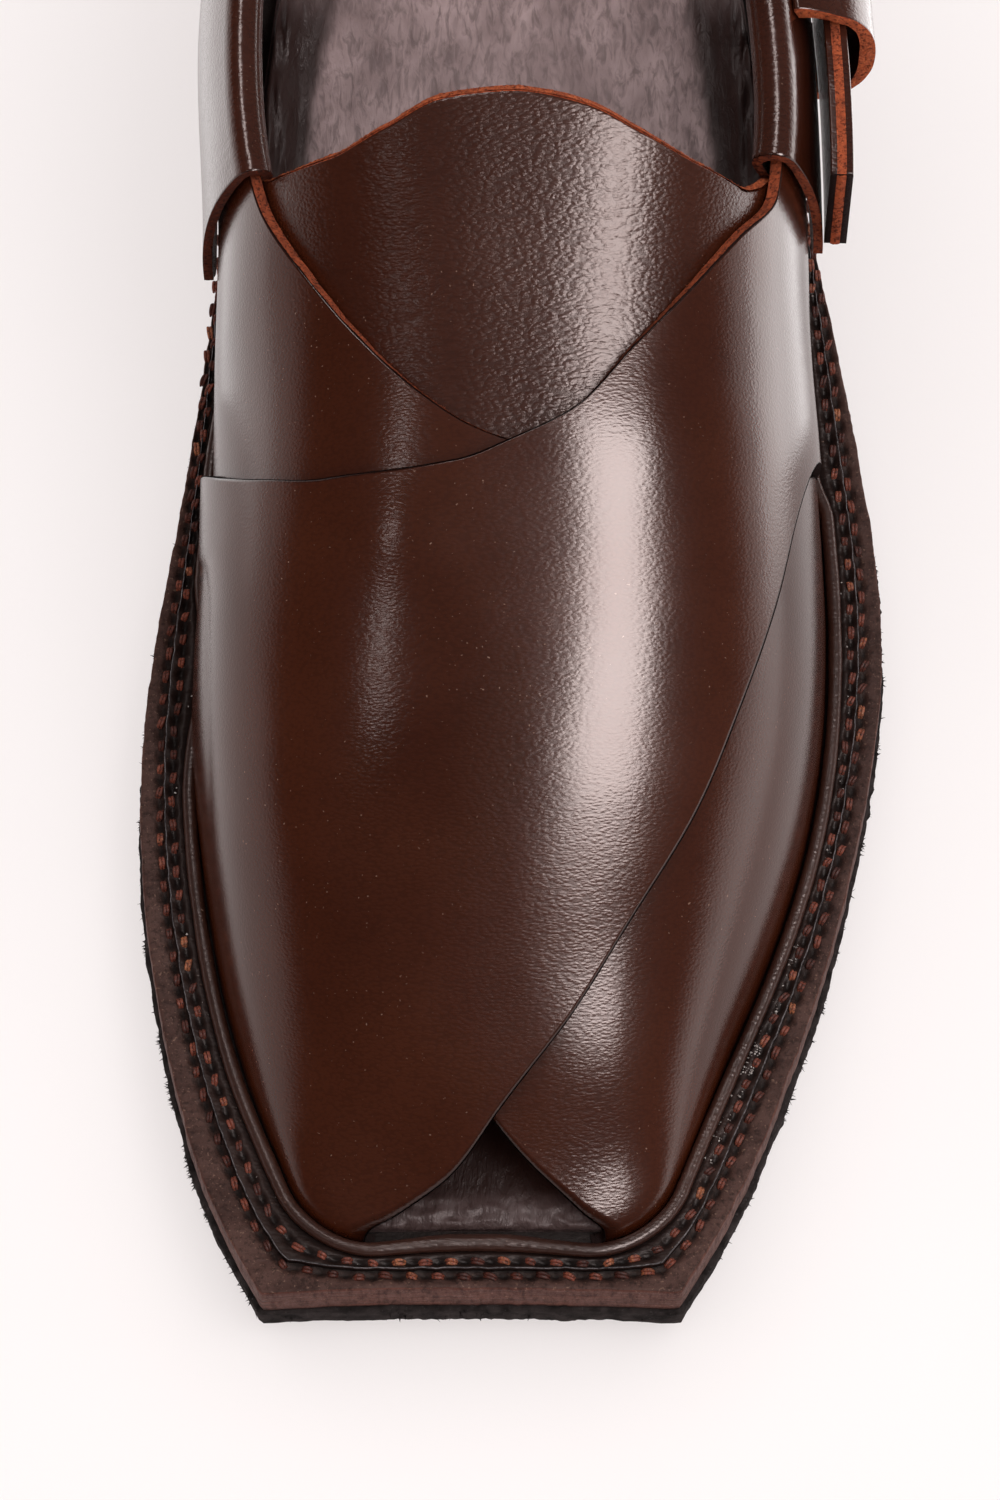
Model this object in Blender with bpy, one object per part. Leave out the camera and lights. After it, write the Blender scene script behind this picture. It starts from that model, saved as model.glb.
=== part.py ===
"""A peshawari chappal, left shoe: a flat-toed sandal whose upper is two wide bands of thick leather
that cross over the foot, on a welted leather and rubber sole, with a folded strap round the heel.

+X is lateral, -Y the toe, +Z up. The origin is the centre of the heel's flat bottom.
Sizes below are millimetres. A "station" is the distance from the toe along the sole, and a "girth"
is a share of the way over the last, from 0 at the medial feather line to 1 at the lateral one.
"""

import math
from functools import lru_cache

import bmesh
import bpy
import numpy as np
from mathutils import Vector

MM = 0.001

# Driving sizes
LENGTH = 296.0
BALL_WIDTH = 116.0
INSTEP_HEIGHT = 69.5
HEEL_HEIGHT = 10.0
TOE_SPRING = 6.0
HEEL_CENTRE = 258.0

# Thicknesses
OUTSOLE = 5.3
MIDSOLE = 8.4
INSOLE = 2.5
BAND = 1.9
FLAP = 1.6
WELT = 1.4
GAP = 0.3
STACK = OUTSOLE + GAP + MIDSOLE + GAP

# Sole
TOE_BREAK = 65.0
SHANK_START = 128.0
HEEL_BREAST = 224.0
TOE_HOLLOW = 0.8
OUTSOLE_PROUD = 0.6
SOLE_HEEL_REACH = LENGTH - HEEL_CENTRE
HEEL_ROUND = 2.25

# Last: its front, the corner of its toe and the reach of its heel
LAST_TOE = 9.8
LAST_CORNER = 8.0
LAST_HEEL_REACH = 30.0

# The strap round the heel
STRAP_FRONT = 164.0
HEEL_WALL = 60.0
HEEL_BULGE = 1.5
HEEL_LEAN = 4.0

# station and half widths as shares of the length and of the ball width
SOLE_COLUMNS = ("station", "medial", "lateral")
SOLE_SECTIONS = (
    (0.000, 0.322, 0.224),
    (0.051, 0.387, 0.296),
    (0.118, 0.440, 0.366),
    (0.186, 0.475, 0.425),
    (0.270, 0.495, 0.477),
    (0.355, 0.485, 0.508),
    (0.443, 0.452, 0.497),
    (0.534, 0.419, 0.459),
    (0.642, 0.384, 0.405),
    (0.760, 0.353, 0.359),
    (0.872, 0.341, 0.341),
)

# half widths at the feather line as shares of the ball width, how far each side swells above it in
# millimetres, the ridge's height over it as a share of the instep height, and the arch's fullness
LAST_COLUMNS = ("station", "medial", "lateral", "medial_swell", "lateral_swell", "ridge", "fullness")
LAST_SECTIONS = (
    (0.030, 0.238, 0.173, 0.0, 0.0, 0.02, 2.20),
    (0.068, 0.278, 0.209, 0.0, 0.0, 0.12, 2.25),
    (0.118, 0.328, 0.260, -0.6, -0.6, 0.26, 2.30),
    (0.176, 0.367, 0.321, -1.0, -1.0, 0.41, 2.35),
    (0.243, 0.393, 0.378, -1.0, -1.0, 0.555, 2.40),
    (0.321, 0.402, 0.411, -0.8, -0.8, 0.675, 2.45),
    (0.405, 0.391, 0.414, -0.5, -0.8, 0.795, 2.50),
    (0.490, 0.378, 0.399, 1.2, 0.4, 0.905, 2.70),
    (0.574, 0.368, 0.385, 1.8, 1.2, 1.000, 3.10),
    (0.676, 0.353, 0.362, 5.5, 3.5, 1.000, 2.60),
    (0.777, 0.323, 0.328, 6.0, 5.0, 1.100, 2.50),
    (0.872, 0.306, 0.306, 4.0, 4.0, 1.400, 2.60),
)

# The bands, from the end of the wing at the waist to the toe. Each row runs across the band, from
# its rear edge to its front edge. The top band starts on the lateral side; the under band is given
# as if it did, and is turned over to the medial side.
BAND_COLUMNS = ("rear_station", "rear_girth", "front_station", "front_girth")
TOP_BAND = (
    (205.0, 0.803, 214.0, 1.000),
    (188.0, 0.780, 190.0, 1.000),
    (170.0, 0.752, 166.0, 1.000),
    (161.7, 0.742, 150.0, 1.000),
    (152.1, 0.692, 141.0, 1.000),
    (142.0, 0.645, 134.5, 1.000),
    (132.9, 0.600, 128.0, 0.845),
    (123.0, 0.550, 115.0, 0.789),
    (118.4, 0.496, 100.0, 0.765),
    (115.4, 0.445, 84.0, 0.741),
    (114.6, 0.388, 68.0, 0.720),
    (115.0, 0.327, 54.0, 0.686),
    (118.5, 0.253, 40.0, 0.640),
    (123.0, 0.190, 27.0, 0.540),
    (129.5, 0.110, 17.0, 0.410),
    (133.6, 0.050, 11.5, 0.190),
    (136.5, 0.000, 9.8, 0.000),
)
UNDER_BAND = (
    (205.0, 0.803, 214.0, 1.000),
    (188.0, 0.780, 190.0, 1.000),
    (170.0, 0.752, 166.0, 1.000),
    (159.2, 0.729, 150.0, 1.000),
    (146.0, 0.680, 140.0, 1.000),
    (135.6, 0.637, 133.0, 1.000),
    (126.2, 0.587, 125.0, 1.000),
    (120.5, 0.540, 112.0, 0.820),
    (118.0, 0.500, 98.0, 0.762),
    (115.4, 0.445, 84.0, 0.741),
    (114.6, 0.388, 68.0, 0.720),
    (115.0, 0.327, 54.0, 0.670),
    (118.5, 0.253, 40.0, 0.610),
    (123.0, 0.190, 27.0, 0.500),
    (126.5, 0.110, 18.0, 0.360),
    (128.5, 0.050, 12.0, 0.170),
    (130.0, 0.000, 9.8, 0.000),
)
BAND_ROWS = 36
BAND_STEPS = 16
BITE = 0.8
# the top band comes down from the under band over a short way at the sole and a long way over the foot
DRAPE = 5.0
LONG_DRAPE = 32.0
FOOT = 30.0


def smooth(places, values):
    """The natural cubic spline through the values, as a function of place."""
    places = np.asarray(places, float)
    values = np.asarray(values, float)
    count = len(places)
    step = np.diff(places)
    rise = np.diff(values) / step
    system = np.eye(count)
    right = np.zeros(count)
    for k in range(1, count - 1):
        system[k, k - 1:k + 2] = step[k - 1], 2 * (step[k - 1] + step[k]), step[k]
        right[k] = 6 * (rise[k] - rise[k - 1])
    bend = np.linalg.solve(system, right)

    def at(place):
        place = np.clip(place, places[0], places[-1])
        k = np.clip(np.searchsorted(places, place) - 1, 0, count - 2)
        a = (places[k + 1] - place) / step[k]
        b = (place - places[k]) / step[k]
        cubic = ((a**3 - a) * bend[k] + (b**3 - b) * bend[k + 1]) * step[k] ** 2 / 6
        return a * values[k] + b * values[k + 1] + cubic

    return at


def steady(places, values):
    """A smooth curve through the values that never overshoots them, as a function of place."""
    places = np.asarray(places, float)
    values = np.asarray(values, float)
    step = np.diff(places)
    rise = np.diff(values) / step
    slope = np.concatenate([[rise[0]], np.zeros(len(step) - 1), [rise[-1]]])
    for k in range(1, len(step)):
        if rise[k - 1] * rise[k] > 0:
            ahead = 2 * step[k] + step[k - 1]
            behind = step[k] + 2 * step[k - 1]
            slope[k] = (ahead + behind) / (ahead / rise[k - 1] + behind / rise[k])

    def at(place):
        place = np.clip(place, places[0], places[-1])
        k = np.clip(np.searchsorted(places, place) - 1, 0, len(step) - 1)
        s = (place - places[k]) / step[k]
        ends = (2 * s**3 - 3 * s**2 + 1) * values[k] + (3 * s**2 - 2 * s**3) * values[k + 1]
        return ends + step[k] * ((s**3 - 2 * s**2 + s) * slope[k] + (s**3 - s**2) * slope[k + 1])

    return at


def ease(share):
    share = np.clip(share, 0.0, 1.0)
    return share * share * (3 - 2 * share)


def column(rows, names, name):
    return np.array([row[names.index(name)] for row in rows])


def sole_curve(name):
    stations = column(SOLE_SECTIONS, SOLE_COLUMNS, "station") * LENGTH
    return smooth(stations, column(SOLE_SECTIONS, SOLE_COLUMNS, name) * BALL_WIDTH)


def last_curve(name, unit):
    stations = column(LAST_SECTIONS, LAST_COLUMNS, "station") * LENGTH
    return smooth(stations, column(LAST_SECTIONS, LAST_COLUMNS, name) * unit)


SOLE_MEDIAL = sole_curve("medial")
SOLE_LATERAL = sole_curve("lateral")
LAST_MEDIAL = last_curve("medial", BALL_WIDTH)
LAST_LATERAL = last_curve("lateral", BALL_WIDTH)
MEDIAL_SWELL = last_curve("medial_swell", 1.0)
LATERAL_SWELL = last_curve("lateral_swell", 1.0)
RIDGE = last_curve("ridge", INSTEP_HEIGHT)
FULLNESS = last_curve("fullness", 1.0)


def place(x, station, z):
    """A point of the shoe, in metres."""
    return Vector((x, station - HEEL_CENTRE, z)) * MM


def ground_rise(station):
    """Height of the outsole's bottom: toe spring, flat tread, then the shank's climb to the heel."""
    toe = TOE_SPRING * np.clip(1 - station / TOE_BREAK, 0, 1) ** 2
    shank = (station - SHANK_START) / (HEEL_BREAST - 2.0 - SHANK_START)
    return toe + HEEL_HEIGHT * ease(shank)


def feather_height(station):
    """Height of the last's feather line, just over the midsole."""
    return ground_rise(station) + STACK


def heel_share(station, reach):
    """How far a half width has closed in round the heel: 1 ahead of its centre, 0 at the back."""
    back = np.clip((station - HEEL_CENTRE) / reach, 0, 1)
    return (1 - back**HEEL_ROUND) ** (1 / HEEL_ROUND)


def sole_sides(station):
    share = heel_share(station, SOLE_HEEL_REACH)
    return -SOLE_MEDIAL(station) * share, SOLE_LATERAL(station) * share


def last_sides(station):
    """x of the feather line on both sides, with the round corners of the toe."""
    inward = np.clip(LAST_CORNER - (station - LAST_TOE), 0, LAST_CORNER)
    corner = LAST_CORNER - np.sqrt(LAST_CORNER**2 - inward**2)
    share = heel_share(station, LAST_HEEL_REACH)
    return (corner - LAST_MEDIAL(station)) * share, (LAST_LATERAL(station) - corner) * share


SECTION_POINTS = 97


@lru_cache(maxsize=None)
def section(station):
    """The last's arch at a station: x, z and the share of girth passed at each of its points."""
    medial, lateral = last_sides(station)
    turn = np.linspace(0, math.pi, SECTION_POINTS)
    power = 2 / FULLNESS(station)
    rise = np.clip(np.sin(turn), 0, 1) ** power
    across = -np.sign(np.cos(turn)) * np.abs(np.cos(turn)) ** power
    swell = np.where(across < 0, MEDIAL_SWELL(station), LATERAL_SWELL(station))
    half = (lateral - medial) / 2 + swell * 4 * rise * (1 - rise)
    x = (medial + lateral) / 2 + across * half
    z = feather_height(station) + RIDGE(station) * rise
    girth = np.concatenate([[0], np.cumsum(np.hypot(np.diff(x), np.diff(z)))])
    return x, z, girth / girth[-1]


def on_last(station, girth):
    station = round(float(np.clip(station, LAST_TOE, HEEL_CENTRE)), 3)
    x, z, share = section(station)
    return np.array([np.interp(girth, share, x), station, np.interp(girth, share, z)])


def over_last(station, girth, lift):
    """A point lifted square off the last."""
    forward = on_last(station + 0.5, girth) - on_last(station - 0.5, girth)
    around = on_last(station, min(girth + 0.006, 1)) - on_last(station, max(girth - 0.006, 0))
    square = np.cross(around, forward)
    point = on_last(station, girth) + square / np.linalg.norm(square) * lift
    point[2] = max(point[2], feather_height(point[1]))
    return point


def wall_ring(turn, z):
    """A point of the last's wall at a height, going round from the medial side (0 to 1), round the
    heel (1 to 2) and forward on the lateral side (2 to 3)."""
    if turn <= 1:
        station, side = STRAP_FRONT + turn * (HEEL_CENTRE - STRAP_FRONT), -1
    elif turn >= 2:
        station, side = HEEL_CENTRE - (turn - 2) * (HEEL_CENTRE - STRAP_FRONT), 1
    else:
        angle = (turn - 1) * math.pi
        power = 2 / HEEL_ROUND
        reach = LAST_HEEL_REACH + heel_lean(z)
        side = -1 if turn < 1.5 else 1
        width = abs(math.cos(angle)) ** power
        depth = math.sin(angle) ** power
        return np.array([wall_x(HEEL_CENTRE, side, z) * width, HEEL_CENTRE + reach * depth, z])
    return np.array([wall_x(station, side, z), station, z])


def wall_x(station, side, z):
    x, height, share = section(round(float(station), 3))
    half = share <= 0.5 if side < 0 else share >= 0.5
    order = np.argsort(height[half])
    return np.interp(z, height[half][order], x[half][order])


def heel_lean(z):
    """How far the heel's back bulges or leans at a height, against its feather line."""
    above = (z - feather_height(HEEL_CENTRE)) / HEEL_WALL
    return HEEL_BULGE * math.sin(math.pi * np.clip(above, 0, 1)) - HEEL_LEAN * above**2


def off_wall(turn, z, lift):
    """A point lifted square off the last's wall."""
    along = wall_ring(turn + 0.01, z) - wall_ring(turn - 0.01, z)
    up = wall_ring(turn, z + 0.5) - wall_ring(turn, z - 0.5)
    square = np.cross(up, along)
    return wall_ring(turn, z) + square / np.linalg.norm(square) * lift


# Making meshes

def new_collection(name):
    collection = bpy.data.collections.new(name)
    bpy.context.scene.collection.children.link(collection)
    return collection


def as_object(name, mesh_data, material, collection):
    mesh = bpy.data.meshes.new(name)
    bmesh.ops.recalc_face_normals(mesh_data, faces=mesh_data.faces)
    bmesh.ops.triangulate(mesh_data, faces=mesh_data.faces)
    mesh_data.to_mesh(mesh)
    mesh_data.free()
    made = bpy.data.objects.new(name, mesh)
    collection.objects.link(made)
    mesh.shade_smooth()
    mesh.set_sharp_from_angle(angle=math.radians(35))
    if material:
        mesh.materials.append(material)
    return made


def slab(name, low_rows, high_rows, material, collection):
    """A sheet between two grids of points, closed round its edges."""
    data = bmesh.new()
    layers = [[[data.verts.new(place(*p)) for p in row] for row in rows] for rows in (low_rows, high_rows)]
    low, high = layers
    rows, steps = len(low), len(low[0])
    for i in range(rows - 1):
        for j in range(steps - 1):
            for layer in layers:
                data.faces.new((layer[i][j], layer[i][j + 1], layer[i + 1][j + 1], layer[i + 1][j]))
    rim = [(0, j) for j in range(steps)] + [(i, steps - 1) for i in range(1, rows)]
    rim += [(rows - 1, j) for j in range(steps - 2, -1, -1)] + [(i, 0) for i in range(rows - 2, 0, -1)]
    for (a, b), (c, d) in zip(rim, rim[1:] + rim[:1]):
        data.faces.new((low[a][b], low[c][d], high[c][d], high[a][b]))
    return as_object(name, data, material, collection)


def loft(name, rings, material, collection, closed=False):
    """A skin over rings of points, capped at its ends unless it closes on itself."""
    data = bmesh.new()
    made = [[data.verts.new(place(*p)) for p in ring] for ring in rings]
    pairs = list(zip(made, made[1:]))
    if closed:
        pairs.append((made[-1], made[0]))
    for first, second in pairs:
        for k in range(len(first)):
            n = (k + 1) % len(first)
            data.faces.new((first[k], first[n], second[n], second[k]))
    if not closed:
        data.faces.new(made[0][::-1])
        data.faces.new(made[-1])
    return as_object(name, data, material, collection)


def boolean(target, operation, other):
    cut = target.modifiers.new(operation.title(), "BOOLEAN")
    cut.operation = operation
    cut.solver = "EXACT"
    cut.object = other
    other.hide_render = True
    other.display_type = "WIRE"


def material(name, colour, roughness, metallic=0.0):
    made = bpy.data.materials.new(name)
    made.use_nodes = True
    shader = made.node_tree.nodes["Principled BSDF"]
    shader.inputs["Base Color"].default_value = (*colour, 1.0)
    shader.inputs["Roughness"].default_value = roughness
    shader.inputs["Metallic"].default_value = metallic
    return made


# The sole

PLATE_COLUMNS = (-1.0, -0.5, 0.0, 0.5, 1.0)


def plate_stations(first, last):
    """Stations down a plate, closer together at the toe and where the heel rounds off."""
    toe = [first, first + 1.5, first + 4.0, first + 8.0, first + 13.0]
    body = list(np.linspace(first + 22.0, HEEL_CENTRE, 24))
    reach = last - HEEL_CENTRE
    return toe + body + [HEEL_CENTRE + reach * math.sin(a) for a in np.linspace(0.14, 1.0, 8) * 1.5]


def plate_row(station, sides, height, hollow=0.0, columns=PLATE_COLUMNS):
    left, right = sides
    middle, half = (left + right) / 2, (right - left) / 2
    return [(middle + half * c, station + hollow * (1 - c * c), height) for c in columns]


def sole_plate(name, bottom, top, proud, paint, collection):
    low, high = [], []
    for station in plate_stations(0.0, LENGTH):
        left, right = sole_sides(station)
        sides = (left - proud, right + proud)
        rise = ground_rise(station)
        hollow = TOE_HOLLOW * (1 - ease(station / 12.0))
        low.append(plate_row(station, sides, rise + bottom, hollow))
        high.append(plate_row(station, sides, rise + top, hollow))
    return slab(name, low, high, paint, collection)


def make_outsole(paint, collection):
    return sole_plate("outsole", 0.0, OUTSOLE, OUTSOLE_PROUD, paint, collection)


def make_midsole(paint, collection):
    bottom = OUTSOLE + GAP
    return sole_plate("midsole", bottom, bottom + MIDSOLE, 0.0, paint, collection)


def make_heel(paint, collection):
    low, high = [], []
    body = list(np.linspace(HEEL_BREAST, HEEL_CENTRE, 5))
    round_part = [HEEL_CENTRE + SOLE_HEEL_REACH * math.sin(a) for a in np.linspace(0.14, 1.0, 8) * 1.5]
    for station in body + round_part:
        left, right = sole_sides(station)
        sides = (left - OUTSOLE_PROUD, right + OUTSOLE_PROUD)
        low.append(plate_row(station, sides, 0.0))
        high.append(plate_row(station, sides, ground_rise(station) - GAP))
    return slab("heel", low, high, paint, collection)


INSOLE_INSET = 0.5
INSOLE_TOE_INSET = 2.4
INSOLE_FRONT = 14.8
INSOLE_COLUMNS = (-1.0, 0.0, 1.0)


def make_insole(paint, collection):
    """Its sides lean in with the last's, so that it clears the bands that come down beside it."""
    low, high = [], []
    last = HEEL_CENTRE + LAST_HEEL_REACH - INSOLE_INSET
    for station in plate_stations(INSOLE_FRONT, last):
        left, right = last_sides(station)
        inset = min(INSOLE_INSET, (right - left) / 4)
        inset += INSOLE_TOE_INSET * (1 - ease((station - INSOLE_FRONT) / 16.0))
        floor = feather_height(station)
        top = floor + INSOLE
        ahead = min(station, HEEL_CENTRE)
        lean_left = max(wall_x(ahead, -1, feather_height(ahead) + INSOLE + GAP) - last_sides(ahead)[0], 0)
        lean_right = max(last_sides(ahead)[1] - wall_x(ahead, 1, feather_height(ahead) + INSOLE + GAP), 0)
        low.append(plate_row(station, (left + inset, right - inset), floor, columns=INSOLE_COLUMNS))
        sides = (left + inset + lean_left, right - inset - lean_right)
        high.append(plate_row(station, sides, top, columns=INSOLE_COLUMNS))
    return slab("insole", low, high, paint, collection)


# The welt: a stitched flange with a rolled bead along the upper

BEAD_RADIUS = 1.1
BEAD_OUT = BAND + GAP + BEAD_RADIUS
BEAD_UP = 1.5
TOE_GAP = 1.5
WELT_POINTS = 88


def feather_loop(count):
    """Evenly spaced points (x, station) round the feather line: medial side first, toe to heel."""
    reach = HEEL_CENTRE + LAST_HEEL_REACH - LAST_TOE
    stations = LAST_TOE + reach * (1 - np.cos(np.linspace(0, math.pi, 400))) / 2
    sides = np.array([last_sides(station) for station in stations])
    medial = np.column_stack([sides[:, 0], stations])
    lateral = np.column_stack([sides[:, 1], stations])
    loop = np.concatenate([medial, lateral[::-1], medial[:1]])
    run = np.concatenate([[0], np.cumsum(np.hypot(*np.diff(loop, axis=0).T))])
    even = np.linspace(0, run[-1], count, endpoint=False)
    return np.column_stack([np.interp(even, run, loop[:, k]) for k in (0, 1)])


def outward(loop):
    """The outward direction at each point of the feather loop."""
    ahead = np.roll(loop, -1, axis=0) - np.roll(loop, 1, axis=0)
    square = np.column_stack([-ahead[:, 1], ahead[:, 0]])
    return square / np.linalg.norm(square, axis=1)[:, None]


def reach_to_sole_edge(point, direction):
    near, far = 0.0, 25.0
    for _ in range(24):
        middle = (near + far) / 2
        x, station = point + direction * middle
        left, right = sole_sides(np.clip(station, 0, LENGTH))
        if 0 < station < LENGTH and left < x < right:
            near = middle
        else:
            far = middle
    return near


def toe_gap(x, station):
    """1 in the middle of the open toe, where no band pushes the bead forward, and 0 beside it."""
    if station > LAST_TOE + 2.0:
        return 0.0
    return float(ease((x + 20.0) / 11.0) * ease((10.5 - x) / 11.0))


def wall_lean(x, station):
    """How far the last stands outside its feather line at the bead's height."""
    side = -1 if x < 0 else 1
    ahead = min(station, HEEL_CENTRE)
    wall = wall_x(ahead, side, feather_height(ahead) + BEAD_UP + BEAD_RADIUS / 2)
    return max(side * wall - side * last_sides(ahead)[side > 0], 0)


def bands_overlap(x, station):
    """1 beside the medial wing, where one band lies on the other at the feather line."""
    return float(ease((station - 106.0) / 14.0) * ease((162.0 - station) / 26.0)) if x < 0 else 0.0


def make_welt(paint, collection):
    loop = feather_loop(WELT_POINTS)
    rings = []
    for point, direction in zip(loop, outward(loop)):
        edge = (BEAD_OUT + reach_to_sole_edge(point, direction)) / 2
        back = wall_lean(*point) + BAND * bands_overlap(*point) - TOE_GAP * toe_gap(*point)
        profile = [(BEAD_OUT - 0.8 + back, 0.0), (edge, 0.0), (edge, WELT)]
        for angle in (0, 60, 120, 180):
            out = BEAD_OUT + back + BEAD_RADIUS * math.cos(math.radians(angle))
            profile.append((out, BEAD_UP + BEAD_RADIUS * math.sin(math.radians(angle))))
        ring = []
        for out, up in profile:
            x, station = point + direction * out
            ring.append((x, station, feather_height(station) + up))
        rings.append(ring)
    return loft("welt", rings, paint, collection, closed=True)


# The upper: two bands that cross, and the flap that lies under them at the throat

def band_curves(table):
    rows = range(len(table))
    return [steady(rows, column(table, BAND_COLUMNS, name)) for name in BAND_COLUMNS]


def throat(table):
    """Station of a band's rear edge over the foot, by its girth."""
    girths = column(table, BAND_COLUMNS, "rear_girth")[2:]
    return steady(girths[::-1], column(table, BAND_COLUMNS, "rear_station")[2:][::-1])


TOP_THROAT = throat(TOP_BAND)
UNDER_THROAT = throat(UNDER_BAND)
UNDER_FRONT = steady(
    column(UNDER_BAND, BAND_COLUMNS, "front_station")[::-1],
    column(UNDER_BAND, BAND_COLUMNS, "front_girth")[::-1],
)


def under_cover(station, girth):
    """1 where the top band lies on the under band, falling to 0 where it has come down past it."""
    own = 1 - girth
    x, z, _ = section(round(float(station), 3))
    around = float(np.hypot(np.diff(x), np.diff(z)).sum())
    behind = UNDER_THROAT(own) - station if own < UNDER_BAND[2][1] else 0.0
    beside = (UNDER_FRONT(station) - own) * around
    behind_drape = DRAPE + (LONG_DRAPE - DRAPE) * ease(own * around / FOOT)
    beside_drape = np.clip(0.9 * (1 - UNDER_FRONT(station)) * around, DRAPE, LONG_DRAPE)
    return ease(behind / behind_drape + 1) * ease(beside / beside_drape + 1)


def band_grids(table, mirrored):
    """Inner and outer points of a band, row by row from its wing to the toe."""
    curves = band_curves(table)
    inner, outer = [], []
    for row in np.linspace(0, len(table) - 1, BAND_ROWS):
        rear_station, rear_girth, front_station, front_girth = (float(curve(row)) for curve in curves)
        inner_row, outer_row = [], []
        for share in np.linspace(0, 1, BAND_STEPS):
            station = rear_station + (front_station - rear_station) * share
            girth = rear_girth + (front_girth - rear_girth) * share
            if mirrored:
                cover = 0.0
                girth = 1 - girth
            else:
                cover = under_cover(station, girth)
            inner_row.append(over_last(station, girth, cover * (BAND - BITE)))
            outer_row.append(over_last(station, girth, cover * BAND + BAND))
        inner.append(inner_row)
        outer.append(outer_row)
    return inner, outer


def make_upper(paint, collection, cutters):
    under = slab("under_band", *band_grids(UNDER_BAND, True), paint, cutters)
    upper = slab("upper", *band_grids(TOP_BAND, False), paint, collection)
    boolean(upper, "UNION", under)
    return upper


FLAP_GAP = 0.45
FLAP_TUCK = 12.0
FLAP_COLUMNS = ("girth", "station")
FLAP_EDGE = (
    (0.225, 167.0),
    (0.246, 165.6),
    (0.272, 163.4),
    (0.345, 162.1),
    (0.397, 164.7),
    (0.445, 168.3),
    (0.500, 169.3),
    (0.555, 167.5),
    (0.603, 163.9),
    (0.655, 161.2),
    (0.705, 160.6),
    (0.732, 162.4),
    (0.754, 165.2),
    (0.775, 167.0),
)


def make_flap(paint, collection):
    edge = steady(column(FLAP_EDGE, FLAP_COLUMNS, "girth"), column(FLAP_EDGE, FLAP_COLUMNS, "station"))
    low, high = [], []
    for girth in np.linspace(FLAP_EDGE[0][0], FLAP_EDGE[-1][0], 27):
        front = (TOP_THROAT(girth) if girth >= 0.5 else UNDER_THROAT(1 - girth)) - FLAP_TUCK
        rear = edge(girth)
        stations = np.linspace(front, rear, 7)
        low.append([over_last(station, girth, -FLAP_GAP - FLAP) for station in stations])
        high.append([over_last(station, girth, -FLAP_GAP) for station in stations])
    return slab("tongue", low, high, paint, collection)


# The heel strap: leather folded over the wings' top edges, with its free end on the lateral side

# turn goes round as in wall_ring; low and top are heights; inner and outer are lifts off the last;
# fold is 1 where the top is one round fold and less where it is a cut edge
STRAP_COLUMNS = ("turn", "low", "top", "inner", "outer", "fold")
# how far the side collar's outer leaf stands off the last
LEAF = 4.3
HEEL_STRAP = (
    (0.00, 29.0, 69.5, -1.70, 4.30, 1.00),
    (0.30, 31.0, 70.0, -1.70, 4.30, 1.00),
    (0.65, 34.0, 71.5, -1.70, 4.30, 1.00),
    (1.00, 38.0, 75.0, -1.70, 4.00, 1.00),
    (1.50, 42.0, 81.0, -1.70, 3.60, 1.00),
    (2.00, 38.5, 76.0, -0.10, 5.20, 1.00),
    (2.13, 39.0, 70.5, 2.80, 7.60, 0.80),
    (2.26, 40.5, 65.5, 5.00, 9.20, 0.40),
    (2.33, 42.6, 65.2, 6.30, 10.10, 0.20),
    (2.41, 43.2, 65.0, 9.10, 12.80, 0.20),
    (2.468, 43.2, 65.0, 9.90, 13.60, 0.20),
    (2.51, 43.6, 64.0, 8.10, 11.70, 0.20),
    (2.56, 44.0, 62.9, 5.60, 9.20, 0.20),
    (2.70, 44.0, 62.9, 5.70, 9.30, 0.20),
    (2.80, 43.4, 64.2, 5.70, 9.30, 0.20),
    (2.981, 42.8, 65.6, 5.90, 9.50, 0.20),
)
SIDE_COLLAR = (
    (2.972, 33.0, 69.5, -2.70, LEAF, 1.00),
    (2.70, 33.0, 70.0, -2.70, LEAF, 1.00),
    (2.36, 35.0, 71.0, -2.70, LEAF, 1.00),
)
# 2 would be a round fold; more is squarer
FOLD_ROUND = 2.5
SLOT_INNER = -0.4
SLOT_OUTER = 2.35
SLOT_TOP = 68.0
SLOT_END = 218.0
# ahead of this station the strap has no inner leaf, and the tongue's corner lies there
INNER_LEAF_FRONT = 169.5
INNER_LEAF_CLEAR = -3.0


def strap_profile(low, top, inner, outer, fold):
    """Points (lift, z) round a strap: up its outer side, over its fold and down its inner side."""
    radius = (outer - inner) / 2 * fold
    shoulder = top - radius
    power = 2 / FOLD_ROUND
    points = [(outer, low + (shoulder - low) * share) for share in (0, 0.3, 0.65, 1)]
    for angle in (30, 60, 90, 120, 150):
        side = outer if angle <= 90 else inner
        centre = side - radius if side == outer else side + radius
        if angle == 90:
            centre = (outer + inner) / 2
        across = math.cos(math.radians(angle))
        reach = radius * math.copysign(abs(across) ** power, across)
        points.append((centre + reach, shoulder + radius * math.sin(math.radians(angle)) ** power))
    points += [(inner, low + (shoulder - low) * share) for share in (1, 0.65, 0.3, 0)]
    return points


TAIL_HEIGHT = 54.0
TAIL_FLAT = (2.05, 2.30)


def off_flank(turn, z, lift):
    """A point lifted off the wall where it follows the wall round the heel, and then stands upright."""
    start, end = TAIL_FLAT
    upright = ease((turn - start) / (end - start))
    point = off_wall(turn, z, lift)
    x, station, _ = off_wall(turn, TAIL_HEIGHT, lift)
    return point * (1 - upright) + np.array([x, station, z]) * upright


def strap_rings(table, turns, off):
    keys = column(table, STRAP_COLUMNS, "turn")
    order = np.argsort(keys)
    curves = [steady(keys[order], column(table, STRAP_COLUMNS, name)[order]) for name in STRAP_COLUMNS[1:]]
    rings = []
    for turn in turns:
        profile = strap_profile(*(float(curve(turn)) for curve in curves))
        rings.append([off(turn, z, lift) for lift, z in profile])
    return rings


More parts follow.
